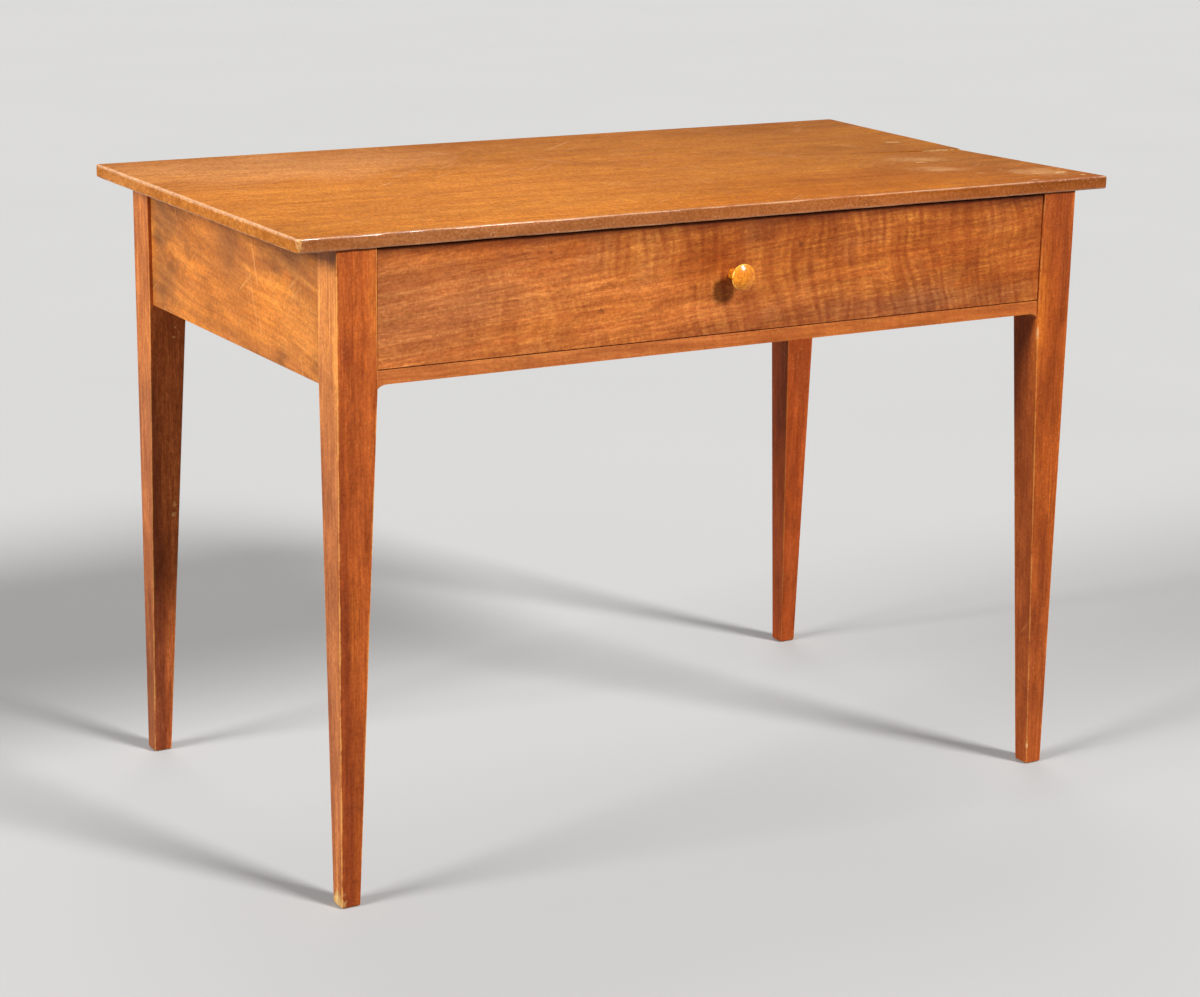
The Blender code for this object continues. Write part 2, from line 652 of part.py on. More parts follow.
def bottom_nails(panel, back, parent):
    """Square cut nails, driven up through the bottom into the back."""
    length = BOTTOM_THICKNESS + NAIL_BITE
    head, shank = NAIL_HEAD / math.sqrt(2), NAIL_SHANK / math.sqrt(2)
    low = -FIT_GAP - NAIL_HEAD_HEIGHT
    profile = [(0, low), (head, low), (head, -FIT_GAP), (shank, -FIT_GAP)]
    profile += [(shank, length - NAIL_POINT), (0, length)]
    wide = shank + FIT_GAP * math.sqrt(2)
    square = math.pi / NAIL_SIDES
    hole = [(0, -CUT_PAST), (wide, -CUT_PAST), (wide, length + FIT_GAP), (0, length + FIT_GAP)]
    for name, place_x in (("left", -1), ("middle", 0), ("right", 1)):
        seat = (place_x * NAIL_SPACING, DRAWER_LENGTH - DRAWER_BACK_THICKNESS / 2, BOTTOM_LOW)
        piece(f"bottom_{name}_nail", turned(profile, NAIL_SIDES, square), parent, "iron", seat)
        shape_with("DIFFERENCE", [panel, back], turned(hole, NAIL_SIDES, square), parent, seat)


def drawer_knob(parent):
    """The turned knob, its round tenon through the front, and the wedge that spreads the tenon."""
    radius, neck, base = KNOB_DIAMETER / 2, KNOB_NECK_DIAMETER / 2, KNOB_BASE_DIAMETER / 2
    tenon_radius, inner_end = KNOB_TENON_DIAMETER / 2, -DRAWER_FRONT_THICKNESS
    rim_high = KNOB_PROJECTION - KNOB_DOME
    rim_low = rim_high - KNOB_RIM
    face = radius - KNOB_RIM / 2
    foot = ellipse((base, KNOB_NECK_PLACE), base - neck, KNOB_NECK_PLACE - FIT_GAP, 270, 180, KNOB_ARC_STEPS)
    flare = ellipse((face, KNOB_NECK_PLACE), face - neck, rim_low - KNOB_NECK_PLACE, 180, 90, KNOB_ARC_STEPS)
    rim = ellipse((face, (rim_low + rim_high) / 2), KNOB_RIM / 2, KNOB_RIM / 2, -90, 90, KNOB_ARC_STEPS)
    ball = (face**2 + KNOB_DOME**2) / (2 * KNOB_DOME)
    spread = math.degrees(math.asin(face / ball))
    dome = ellipse((0, KNOB_PROJECTION - ball), ball, ball, 90 - spread, 90, KNOB_ARC_STEPS)
    tenon_end = [(0, inner_end), (tenon_radius, inner_end), (tenon_radius, FIT_GAP)]
    profile = tenon_end + foot + flare[1:] + rim[1:] + dome[1:]
    seat, out = (0, 0, KNOB_HEIGHT), (0, -1, 0)
    knob = piece("drawer_knob", turned(profile, KNOB_SIDES), parent, "knob", seat, out, smooth=True)
    half = WEDGE_WIDTH / 2
    piece("knob_wedge", prism(wedge_outline(0.0, 0.0), "y", -half, half), parent, "inside", seat, out)
    reach = tenon_radius + CUT_PAST
    kerf = prism(wedge_outline(FIT_GAP, CUT_PAST), "y", -reach, reach)
    shape_with("DIFFERENCE", [knob], kerf, parent, seat, out)


def wedge_outline(gap, past):
    """The wedge's section as (x, z); the kerf is a gap wider all round and runs past the tenon's end."""
    mouth = -DRAWER_FRONT_THICKNESS
    taper = (WEDGE_THICK_END - WEDGE_THIN_END) / WEDGE_LENGTH
    thick = (WEDGE_THICK_END + past * taper) / 2 + gap
    thin = WEDGE_THIN_END / 2 + gap
    tip = mouth + WEDGE_LENGTH + gap
    return [(-thick, mouth - past), (thick, mouth - past), (thin, tip), (-thin, tip)]


def main():
    """Build the frame, the top and the drawer."""
    clear_scene()
    frame = empty("table_frame_middle", location=(0, FRAME_PLACE_Y, 0))
    legs = {(end, hand): tapered_leg(end, hand, frame) for end in ENDS for hand in HANDS}
    aprons = {hand: side_apron(hand, legs, frame) for hand in HANDS}
    aprons["rear"] = rear_apron(legs, frame)
    rail = front_rail(legs, frame)
    for hand in HANDS:
        guide(hand, runner(hand, rail, aprons["rear"], frame), frame)
        stop(hand, frame)
    boards = {
        "front": top_board("top_front_board", TOP_FRONT, TOP_JOINT_PLACE - FIT_GAP / 2, frame),
        "rear": top_board("top_rear_board", TOP_REAR, TOP_JOINT_PLACE + FIT_GAP / 2, frame),
    }
    top_screws(boards, aprons, frame)
    drawer = empty("drawer_face_middle", frame, (0, RAIL_FRONT, RAIL_TOP))
    front, back = drawer_front(drawer), drawer_back(drawer)
    for hand in HANDS:
        drawer_side(hand, front, back, drawer)
    bottom_nails(drawer_bottom(drawer), back, drawer)
    drawer_knob(drawer)


main()
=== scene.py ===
"""Looks of the work table: worn boards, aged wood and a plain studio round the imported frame.

Metres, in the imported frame: +X along the table, the drawer side towards -Y, the floor at Z = 0.
"""

from __future__ import annotations

import json
import logging
import math
from dataclasses import dataclass, replace
from enum import Enum
from functools import cache
from typing import ClassVar

import bmesh
import bpy
import numpy as np
from mathutils import Matrix, Vector

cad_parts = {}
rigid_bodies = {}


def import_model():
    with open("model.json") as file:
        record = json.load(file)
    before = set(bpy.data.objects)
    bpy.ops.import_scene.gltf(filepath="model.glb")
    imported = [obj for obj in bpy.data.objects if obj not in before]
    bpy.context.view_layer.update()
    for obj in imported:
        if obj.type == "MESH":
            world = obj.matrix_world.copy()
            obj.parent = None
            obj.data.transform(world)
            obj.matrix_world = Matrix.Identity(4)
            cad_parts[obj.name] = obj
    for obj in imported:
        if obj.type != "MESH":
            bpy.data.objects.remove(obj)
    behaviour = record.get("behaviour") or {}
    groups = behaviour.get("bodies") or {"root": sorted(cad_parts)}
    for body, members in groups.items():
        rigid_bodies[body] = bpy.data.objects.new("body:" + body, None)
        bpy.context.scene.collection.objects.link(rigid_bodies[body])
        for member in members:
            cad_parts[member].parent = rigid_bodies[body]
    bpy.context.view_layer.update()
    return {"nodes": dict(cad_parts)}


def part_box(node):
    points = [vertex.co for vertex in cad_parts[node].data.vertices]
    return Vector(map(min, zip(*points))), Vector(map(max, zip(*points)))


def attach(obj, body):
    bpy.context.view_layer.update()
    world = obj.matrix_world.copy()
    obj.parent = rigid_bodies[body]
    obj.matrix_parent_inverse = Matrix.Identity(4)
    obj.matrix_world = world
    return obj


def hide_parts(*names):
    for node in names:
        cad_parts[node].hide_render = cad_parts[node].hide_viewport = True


for leftover in list(bpy.data.objects):
    bpy.data.objects.remove(leftover, do_unlink=True)
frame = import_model()

LOG = logging.getLogger("work_table")

Colour = tuple[float, float, float]
Point = tuple[float, float, float]
Outline = list[tuple[float, float]]
Depths = tuple[float, float]
Socket = bpy.types.NodeSocket
Feed = Socket | float | str | tuple
Feeds = dict[str | int, Feed]
Inputs = dict[str, float | bool | str | tuple]

ORIGIN: Point = (0.0, 0.0, 0.0)
# Distance from an arris past which the arris no longer shows in a finish
FAR_FROM_ARRIS = 0.03
ARRIS = "arris"
MERGE_BELOW = 1e-6
# Noise swings by about a quarter, so this makes it swing by one
FULL_SWING = 4.0
FRAME_BODY = "table_frame"
DRAWER_BODY = "drawer"


class Axis(Enum):
    """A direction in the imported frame, by the place of its coordinate."""

    X = 0
    Y = 1
    Z = 2


# A face of a block as its axis, its place and its outward sign
Face = tuple[Axis, float, int]

# Edges that turn less are flat, or are shaded smooth, and edges that turn more are arrises
FLAT_ANGLE = math.radians(0.5)
CRISP_ANGLE = math.radians(8)
ARRIS_ANGLE = math.radians(30)


# Node trees


class Graph:
    """A node tree with short calls that add nodes and join them."""

    def __init__(self, tree: bpy.types.NodeTree) -> None:
        """Keep the tree that the nodes go into."""
        self.tree = tree

    def node(self, kind: str, feeds: Feeds | None = None, **settings: object) -> bpy.types.Node:
        """Add one node.

        Args:
            kind: The node's type.
            feeds: What goes into its inputs, by name or number: a socket or a plain value.
            settings: The node's own properties.

        Returns:
            The new node.
        """
        made = self.tree.nodes.new(kind)
        for setting, value in settings.items():
            setattr(made, setting, value)
        self.feed_all(made, feeds or {})
        return made

    def feed_all(self, node: bpy.types.Node, feeds: Feeds) -> None:
        """Give a node's inputs, by name or number, what they work on."""
        for socket, value in feeds.items():
            self.feed(node.inputs[socket], value)

    def feed(self, socket: Socket, value: Feed) -> None:
        """Give an input what it works on.

        Args:
            socket: The input.
            value: A socket to link to it, or a plain value to set.
        """
        if isinstance(value, bpy.types.NodeSocket):
            self.tree.links.new(value, socket)
        else:
            socket.default_value = value

    def math(self, operation: str, *values: Feed) -> Socket:
        """The result of one sum on numbers."""
        return self.node("ShaderNodeMath", dict(enumerate(values)), operation=operation).outputs[0]

    def vector(self, operation: str, *values: Feed) -> Socket:
        """The result of one sum on vectors; a length comes out as a number."""
        made = self.node("ShaderNodeVectorMath", dict(enumerate(values)), operation=operation)
        return made.outputs["Value" if operation == "LENGTH" else "Vector"]

    def split(self, vector: Socket) -> list[Socket]:
        """The three coordinates of a vector."""
        return list(self.node("ShaderNodeSeparateXYZ", {0: vector}).outputs)

    def join(self, *coordinates: Feed) -> Socket:
        """A vector of three coordinates."""
        return self.node("ShaderNodeCombineXYZ", dict(enumerate(coordinates))).outputs[0]

    def noise(self, vector: Socket, density: Feed, detail: float = 2.0, roughness: float = 0.5) -> Socket:
        """Smooth noise from about 0.25 to 0.75.

        Args:
            vector: Where the noise is read.
            density: How many times it changes in a metre along each axis.
            detail: Octaves of finer noise on top.
            roughness: Share of the finer noise.

        Returns:
            The noise as a number.
        """
        feeds = {"Vector": self.vector("MULTIPLY", vector, density), "Scale": 1.0}
        feeds |= {"Detail": detail, "Roughness": roughness}
        return self.node("ShaderNodeTexNoise", feeds).outputs[0]

    def ramp(self, value: Feed, start: Feed, end: Feed) -> Socket:
        """A smooth step from 0 at start to 1 at end; start may lie above end."""
        feeds = {0: value, 1: start, 2: end}
        return self.node("ShaderNodeMapRange", feeds, interpolation_type="SMOOTHSTEP").outputs[0]

    def patches(
        self,
        vector: Socket,
        density: Feed,
        start: float,
        end: float,
        detail: float = 2.0,
        roughness: float = 0.5,
    ) -> Socket:
        """Patches of noise as a mask.

        Args:
            vector: Where the noise is read.
            density: How many times it changes in a metre along each axis.
            start: Noise at which a patch begins.
            end: Noise from which the mask is full.
            detail: Octaves of finer noise on top.
            roughness: Share of the finer noise.

        Returns:
            The mask.
        """
        return self.ramp(self.noise(vector, density, detail, roughness), start, end)

    def swing(self, vector: Socket, density: Feed, detail: float = 2.0) -> Socket:
        """Noise that swings about 0."""
        return self.math("SUBTRACT", self.noise(vector, density, detail), 0.5)

    def mix(self, factor: Feed, first: Feed, second: Feed, blend: str = "MIX") -> Socket:
        """A colour between two colours, or the first tinted by the second.

        Args:
            factor: Share of the second colour.
            first: The colour below.
            second: The colour over it.
            blend: MIX lays the second colour over the first, MULTIPLY tints with it.

        Returns:
            The colour.
        """
        feeds = {0: factor, 6: opaque(first), 7: opaque(second)}
        return self.node("ShaderNodeMix", feeds, data_type="RGBA", blend_type=blend).outputs[2]

    def glaze(self, colour: Feed, mask: Socket, share: float, over: Feed, blend: str = "MIX") -> Socket:
        """Lay a second colour over a colour through a share of a mask."""
        return self.mix(self.math("MULTIPLY", mask, share), colour, over, blend)

    def shown_rays(self) -> Socket:
        """Tell the rays that show a backdrop as it is from those that carry its light.

        Returns:
            1 for a ray to the camera, in gloss or through glass, else 0.
        """
        rays = self.node("ShaderNodeLightPath").outputs
        mirrored = self.math("MAXIMUM", rays["Is Glossy Ray"], rays["Is Transmission Ray"])
        return self.math("MAXIMUM", rays["Is Camera Ray"], mirrored)

    def place_group(self, tree: bpy.types.NodeTree, feeds: Feeds) -> bpy.types.NodeOutputs:
        """Put a shader group into a material and give its outputs."""
        return self.node("ShaderNodeGroup", feeds, node_tree=tree).outputs


def opaque(colour: Feed) -> Feed:
    """A plain colour with its alpha; a socket stays as it is."""
    return (*colour, 1.0) if isinstance(colour, tuple) else colour


class GroupGraph(Graph):
    """A node group with named inputs and outputs."""

    SOCKETS: ClassVar[dict[type, str]] = {
        float: "NodeSocketFloat",
        bool: "NodeSocketBool",
        tuple: "NodeSocketVector",
    }

    def __init__(self, name: str, kind: str, inputs: Inputs, outputs: dict[str, str]) -> None:
        """Make the group.

        Args:
            name: The group's name.
            kind: ShaderNodeTree or GeometryNodeTree.
            inputs: Each input's name with its default value, or with its socket type as a word.
            outputs: Each output's name with its socket type.
        """
        super().__init__(bpy.data.node_groups.new(name, kind))
        for label, value in inputs.items():
            named = isinstance(value, str)
            socket_type = value if named else self.SOCKETS[type(value)]
            socket = self.tree.interface.new_socket(label, in_out="INPUT", socket_type=socket_type)
            if not named:
                socket.default_value = value
        for label, socket_type in outputs.items():
            self.tree.interface.new_socket(label, in_out="OUTPUT", socket_type=socket_type)
        self.entry = self.node("NodeGroupInput").outputs
        self.exit = self.node("NodeGroupOutput").inputs


class EffectGraph(GroupGraph):
    """A shader group that puts out masks."""

    def __init__(self, name: str, inputs: Inputs, *masks: str) -> None:
        """Make the group with its masks as number outputs."""
        super().__init__(name, "ShaderNodeTree", inputs, dict.fromkeys(masks, "NodeSocketFloat"))

    def put_out(self, **values: Socket) -> bpy.types.NodeTree:
        """Link the masks to the group's outputs.

        Args:
            values: The masks, by the outputs' names in small letters.

        Returns:
            The finished group.
        """
        for label, value in values.items():
            self.feed(self.exit[label.title()], value)
        return self.tree


class GeometryGraph(GroupGraph):
    """A geometry tree that ends in a realized mesh with a material."""

    TURNING_STEPS: ClassVar[int] = 64

    def __init__(self, name: str, inputs: Inputs) -> None:
        """Make the tree, with sockets for the geometry and the material.

        Args:
            name: The tree's name.
            inputs: Its own inputs, each name with its default value.
        """
        geometry = {"Geometry": "NodeSocketGeometry"}
        inputs = geometry | {"Material": "NodeSocketMaterial"} | inputs
        super().__init__(name, "GeometryNodeTree", inputs, geometry)

    def close(self, geometry: Socket) -> bpy.types.NodeTree:
        """Realize the geometry, give it its material and put it out.

        Args:
            geometry: What the tree has made.

        Returns:
            The finished tree.
        """
        real = self.node("GeometryNodeRealizeInstances", {"Geometry": geometry}).outputs[0]
        feeds = {"Geometry": real, "Material": self.entry["Material"]}
        self.feed(self.exit["Geometry"], self.node("GeometryNodeSetMaterial", feeds).outputs[0])
        return self.tree

    def turning(self, profile: Outline, sides: int) -> Socket:
        """A profile turned about Z.

        Args:
            profile: Points of (radius, height), from the axis to the axis, the lower end first.
            sides: Sides of the turned shape.

        Returns:
            The closed mesh.
        """
        samples = evenly_spaced(profile, self.TURNING_STEPS + 1)
        widest = samples[:, 0].max()
        lowest = samples[:, 1].min()
        tallest = samples[:, 1].max() - lowest
        feeds = {"Vertices": sides, "Side Segments": self.TURNING_STEPS, "Radius": 1.0, "Depth": 1.0}
        tube = self.node("GeometryNodeMeshCylinder", feeds, fill_type="NONE").outputs[0]
        x, y, z = self.position()
        along = self.math("ADD", z, 0.5)
        radius = self.math("MULTIPLY", self.curve(along, samples[:, 0] / widest), widest)
        risen = self.curve(along, (samples[:, 1] - lowest) / tallest)
        height = self.math("MULTIPLY_ADD", risen, tallest, lowest)
        place = self.join(self.math("MULTIPLY", x, radius), self.math("MULTIPLY", y, radius), height)
        shaped = self.node("GeometryNodeSetPosition", {"Geometry": tube, "Position": place}).outputs[0]
        feeds = {"Geometry": shaped, "Distance": MERGE_BELOW}
        return self.node("GeometryNodeMergeByDistance", feeds).outputs[0]

    def position(self) -> list[Socket]:
        """The three coordinates of each point."""
        return self.split(self.node("GeometryNodeInputPosition").outputs[0])

    def keep_arris(self, geometry: Socket, distance: Socket) -> Socket:
        """Let the points of a mesh keep their distance from the nearest arris.

        Args:
            geometry: The mesh.
            distance: The distance of each point.

        Returns:
            The mesh with that number.
        """
        feeds = {"Geometry": geometry, "Name": ARRIS, "Value": distance}
        kept = self.node("GeometryNodeStoreNamedAttribute", feeds, data_type="FLOAT", domain="POINT")
        return kept.outputs[0]

    def curve(self, along: Socket, heights: np.ndarray) -> Socket:
        """A curve through evenly spaced heights.

        Args:
            along: Where the curve is read, from 0 to 1.
            heights: Its heights, from 0 to 1.

        Returns:
            The height there.
        """
        made = self.node("ShaderNodeFloatCurve", {"Value": along})
        points = made.mapping.curves[0].points
        while len(points) < len(heights):
            points.new(0.5, 0.5)
        for number, (point, height) in enumerate(zip(points, heights)):
            point.location = (number / (len(heights) - 1), float(height))
            point.handle_type = "VECTOR"
        made.mapping.update()
        return made.outputs[0]

    def cut(self, geometry: Socket, size: Point, middle: Point) -> Socket:
        """Cut a block out of a mesh.

        Args:
            geometry: The mesh.
            size: Size of the block.
            middle: Its middle.

        Returns:
            What is left of the mesh.
        """
        block = self.node("GeometryNodeMeshCube", {"Size": size}).outputs[0]
        placed = self.node("GeometryNodeTransform", {"Geometry": block, "Translation": middle}).outputs[0]
        feeds = {"Mesh 1": geometry, "Mesh 2": placed}
        return self.node("GeometryNodeMeshBoolean", feeds, operation="DIFFERENCE", solver="EXACT").outputs[0]

    def smooth(self, geometry: Socket) -> Socket:
        """Shade a mesh smooth."""
        return self.node("GeometryNodeSetShadeSmooth", {"Geometry": geometry}).outputs[0]


def evenly_spaced(profile: Outline, count: int) -> np.ndarray:
    """Points at even distances along a profile.

    Args:
        profile: The profile's own points.
        count: How many points are wanted, the two ends among them.

    Returns:
        The points, one in each row.
    """
    points = np.array(profile)
    lengths = np.hypot(*np.diff(points, axis=0).T)
    places = np.concatenate([[0.0], np.cumsum(lengths)])
    wanted = np.linspace(0.0, places[-1], count)
    return np.stack([np.interp(wanted, places, points[:, side]) for side in (0, 1)], axis=1)


def arc(centre: tuple[float, float], radii: tuple[float, float], start: float, end: float) -> Outline:
    """Points of (radius, height) on an arc of an ellipse.

    Args:
        centre: Middle of the ellipse.
        radii: Its half widths outwards and upwards.
        start: First angle in degrees, counted from the outward direction.
        end: Last angle in degrees.

    Returns:
        The points in order.
    """
    count = 13
    angles = np.radians(np.linspace(start, end, count))
    return [(centre[0] + radii[0] * math.cos(a), centre[1] + radii[1] * math.sin(a)) for a in angles]


# Effects that the finishes share


@cache
def figure_group() -> bpy.types.NodeTree:
    """What a board's growth shows; X of its input runs along the grain.

    Returns:
        The group, with rings, streaks, clouds, lines, flecks, fibres and pores as masks.
    """
    inputs = {"Grain": ORIGIN, "Ring Width": 0.006, "Waviness": 0.012}
    g = EffectGraph("wood_figure", inputs, "Rings", "Streaks", "Clouds", "Lines", "Flecks", "Fibre", "Pores")
    grain = g.entry["Grain"]
    along, *across = g.split(grain)
    far_off = (31.7, 12.9, 5.1)
    bent = []
    for coordinate, shift in zip(across, (ORIGIN, far_off)):
        sway = g.swing(g.vector("ADD", grain, shift), (1.7, 7.0, 7.0))
        width = g.math("MULTIPLY", g.entry["Waviness"], FULL_SWING)
        bent.append(g.math("MULTIPLY_ADD", sway, width, coordinate))
    from_pith = g.vector("LENGTH", g.join(0.0, *bent))
    count = g.math("DIVIDE", from_pith, g.entry["Ring Width"])
    feeds = {"W": count, "Scale": 1.0, "Detail": 3.0, "Roughness": 0.6}
    rings = g.node("ShaderNodeTexNoise", feeds, noise_dimensions="1D").outputs[0]
    bent_grain = g.join(along, *bent)
    return g.put_out(
        rings=g.ramp(rings, 0.3, 0.7),
        streaks=g.patches(bent_grain, (1.8, 52.0, 52.0), 0.44, 0.66, 4.0, 0.62),
        clouds=g.patches(bent_grain, (4.5, 15.0, 15.0), 0.36, 0.66, 4.0, 0.6),
        lines=g.patches(bent_grain, (6.0, 290.0, 290.0), 0.48, 0.68, 3.0, 0.6),
        flecks=g.patches(bent_grain, (95.0, 430.0, 430.0), 0.36, 0.64, 2.0, 0.6),
        fibre=g.patches(grain, (14.0, 430.0, 430.0), 0.3, 0.7, 3.0, 0.65),
        pores=g.patches(grain, (55.0, 760.0, 760.0), 0.58, 0.72, 1.0),
    )


@cache
def tone_group() -> bpy.types.NodeTree:
    """What makes a surface lighter here and darker there.

    Returns:
        The group, with strands along the grain, blotches and fine speckle as masks.
    """
    inputs = {"Grain": ORIGIN, "Vector": ORIGIN}
    inputs |= {"Strand Density": (9.0, 230.0, 230.0), "Speckle Density": (300.0, 300.0, 300.0)}
    g = EffectGraph("wood_tone", inputs, "Strands", "Mottle", "Speckle")
    grain, dark, light = g.entry["Grain"], 0.34, 0.66
    return g.put_out(
        strands=g.patches(grain, g.entry["Strand Density"], dark, light, 4.0, 0.65),
        mottle=g.patches(grain, (13.0, 46.0, 46.0), dark, light, 4.0, 0.62),
        speckle=g.patches(g.entry["Vector"], g.entry["Speckle Density"], dark, light, 3.0, 0.65),
    )


@cache
def curl_group() -> bpy.types.NodeTree:
    """Ripples across the grain of curly wood, in patches.

    Returns:
        The group, with the ripples and the golden glints between them as masks.
    """
    g = EffectGraph("curly_figure", {"Grain": ORIGIN, "Wavelength": 0.0095}, "Curl", "Glints")
    grain = g.entry["Grain"]
    along, side, height = g.split(grain)
    rise, slant, sway = 0.035, 0.12, 0.05
    wave_share, column_share = 0.3, 0.7
    glow_least, glow_range = 0.25, 0.75
    height = g.math("MULTIPLY_ADD", g.swing(grain, (5.0, 8.0, 8.0)), rise, height)
    leaning = g.math("MULTIPLY_ADD", height, slant, along)
    place = g.math("MULTIPLY_ADD", g.swing(grain, (8.0, 11.0, 11.0), 1.5), sway, leaning)
    warped = g.join(place, side, height)
    turns = g.math("MULTIPLY", g.math("DIVIDE", place, g.entry["Wavelength"]), math.tau)
    wave = g.math("MULTIPLY_ADD", g.math("SINE", turns), 0.5, 0.5)
    columns = g.patches(warped, (105.0, 12.0, 12.0), 0.34, 0.66, 1.5)
    ripple = g.math("MULTIPLY_ADD", columns, column_share, g.math("MULTIPLY", wave, wave_share))
    curly = g.patches(warped, (6.0, 10.0, 10.0), 0.32, 0.62, 3.0, 0.6)
    glints = g.patches(warped, (14.0, 280.0, 280.0), 0.46, 0.70, 4.0, 0.65)
    bright = g.math("MULTIPLY", g.math("SUBTRACT", 1.0, ripple), curly)
    glow = g.math("MULTIPLY", g.math("MULTIPLY_ADD", glints, glow_range, glow_least), bright)
    return g.put_out(curl=g.math("MULTIPLY", ripple, curly), glints=glow)


@cache
def wear_group() -> bpy.types.NodeTree:
    """Finish rubbed off along the arrises, more in some places than in others.

    Returns:
        The group, with the wear as a mask.
    """
    g = EffectGraph("arris_wear", {"Vector": ORIGIN, "Arris": FAR_FROM_ARRIS, "Reach": 0.002}, "Wear")
    vector, reach = g.entry["Vector"], g.entry["Reach"]
    worn_run = g.patches(vector, (15.0, 15.0, 15.0), 0.34, 0.64, 4.0, 0.6)
    least, more = 0.1, 1.4
    local_reach = g.math("MULTIPLY", reach, g.math("MULTIPLY_ADD", worn_run, more, least))
    ragged = g.math("MULTIPLY_ADD", g.swing(vector, (260.0, 260.0, 260.0)), reach, g.entry["Arris"])
    return g.put_out(wear=g.ramp(ragged, local_reach, 0.0))


@cache
def age_group() -> bpy.types.NodeTree:
    """What use leaves on a surface.

    Returns:
        The group, with smudges, pale specks, fine scratches and grit as masks.
    """
    inputs = {"Vector": ORIGIN, "Grain": ORIGIN, "Scratch Turn": (0.0, 1.0, 0.0)}
    g = EffectGraph("age_marks", inputs, "Smudges", "Specks", "Scratches", "Grit")
    vector = g.entry["Vector"]
    specks = g.patches(vector, (240.0, 240.0, 240.0), 0.7, 0.78, 4.0, 0.7)
    dust_and_sheen = g.patches(vector, (9.0, 9.0, 9.0), 0.46, 0.66, 4.0, 0.6)
    crossing = (-0.7, 1.15)
    scratches = []
    for angle in crossing:
        turn = g.vector("MULTIPLY", g.entry["Scratch Turn"], (angle,) * 3)
        turned = g.node("ShaderNodeMapping", {"Vector": g.entry["Grain"], "Rotation": turn}).outputs[0]
        fine = g.patches(turned, (13.0, 420.0, 420.0), 0.69, 0.80, 0.0)
        here = g.patches(turned, (11.0, 14.0, 14.0), 0.52, 0.64)
        scratches.append(g.math("MULTIPLY", fine, here))
    return g.put_out(
        smudges=g.patches(vector, (11.0, 11.0, 14.0), 0.5, 0.74, 4.0, 0.62),
        specks=g.math("MULTIPLY", specks, dust_and_sheen),
        scratches=g.math("MAXIMUM", *scratches),
        grit=g.patches(vector, (330.0, 330.0, 330.0), 0.35, 0.65, 3.0, 0.7),
    )


@cache
def mark_group() -> bpy.types.NodeTree:
    """A ragged patch at one place, turned about the vertical.

    Returns:
        The group, with the patch as a mask.
    """
    inputs = {"Vector": ORIGIN, "Place": ORIGIN, "Size": (0.01, 0.01, 0.01), "Turn": 0.0}
    inputs |= {"Ragged": 0.3, "Grit": 160.0, "Core": 0.5}
    g = EffectGraph("placed_mark", inputs, "Mask")
    vector = g.entry["Vector"]
    offset = g.vector("SUBTRACT", vector, g.entry["Place"])
    feeds = {"Vector": offset, "Angle": g.entry["Turn"]}
    turned = g.node("ShaderNodeVectorRotate", feeds, rotation_type="Z_AXIS").outputs[0]
    distance = g.vector("LENGTH", g.vector("DIVIDE", turned, g.entry["Size"]))
    feeds = {"Vector": vector, "Scale": g.entry["Grit"], "Detail": 3.0}
    gritty = g.node("ShaderNodeTexNoise", feeds).outputs[0]
    width = g.math("MULTIPLY", g.entry["Ragged"], FULL_SWING)
    rough = g.math("MULTIPLY", g.math("SUBTRACT", gritty, 0.5), width)
    return g.put_out(mask=g.ramp(g.math("ADD", distance, rough), 1.0, g.entry["Core"]))


# Finishes


@dataclass(frozen=True)
class Mark:
    """A knot, scuff, stain or chip at one place.

    Attributes:
        place: Its middle.
        size: Its half widths along the axes, before it is turned.
        colour: Its own colour, or what it tints the wood with.
        strength: How much of it shows.
        turn: Degrees that it is turned about the vertical.
        ragged: How far its rim frays.
        grit: How fine the fraying is.
        core: Share of its size that is full.
        tint: Whether it tints the wood instead of covering it.
    """

    place: Point
    size: Point
    colour: Colour
    strength: float = 0.8
    turn: float = 0.0
    ragged: float = 0.3
    grit: float = 160.0
    core: float = 0.4
    tint: bool = False

    @classmethod
    def stain(
        cls,
        place: Point,
        size: Point,
        tint: Colour,
        strength: float = 1.0,
        ragged: float = 0.1,
        grit: float = 9.0,
        core: float = 0.35,
    ) -> Mark:
        """A patch where the wood is tinted and its figure still shows.

        Args:
            place: Its middle.
            size: Its half widths along the axes.
            tint: What the wood's colour is multiplied by.
            strength: How much of it shows.
            ragged: How far its rim frays.
            grit: How fine the fraying is.
            core: Share of its size that is full.

        Returns:
            The mark.
        """
        return cls(place, size, tint, strength, ragged=ragged, grit=grit, core=core, tint=True)


@dataclass(frozen=True)
class Side:
    """One side of a board with a look of its own.

    Attributes:
        axis: The axis that the side lies across.
        start: Where the look begins along that axis.
        full: Where it is full.
        pale: Colour between the rings.
        heart: Colour of the rings.
        strength: How much of it shows.
        rougher: What it adds to the roughness.
        tint: Whether it tints the wood instead of covering it.
    """

    axis: Axis
    start: float
    full: float
    pale: Colour
    heart: Colour
    strength: float = 0.9
    rougher: float = 0.0
    tint: bool = False

    @classmethod
    def facing(
        cls, node: str, axis: Axis, way: int, depths: Depths, *colours: Colour, **more: float
    ) -> Side:
        """The side of a CAD node that faces one way along an axis.

        Args:
            node: The CAD node.
            axis: The axis.
            way: 1 or -1 along it.
            depths: Depths behind the face where the look begins and where it is full.
            colours: Its colours between the rings and of the rings.
            more: Its other fields.

        Returns:
            The side.
        """
        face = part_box(node)[way > 0][axis.value]
        start, full = (face - way * depth for depth in depths)
        return cls(axis, start, full, *colours, **more)

    @classmethod
    def bare(cls, node: str, axis: Axis, way: int, depths: Depths) -> Side:
        """The unvarnished side of a CAD node, as facing() finds it."""
        return cls.facing(node, axis, way, depths, BARE_PALE, BARE_HEART, rougher=BARE_ROUGHER)


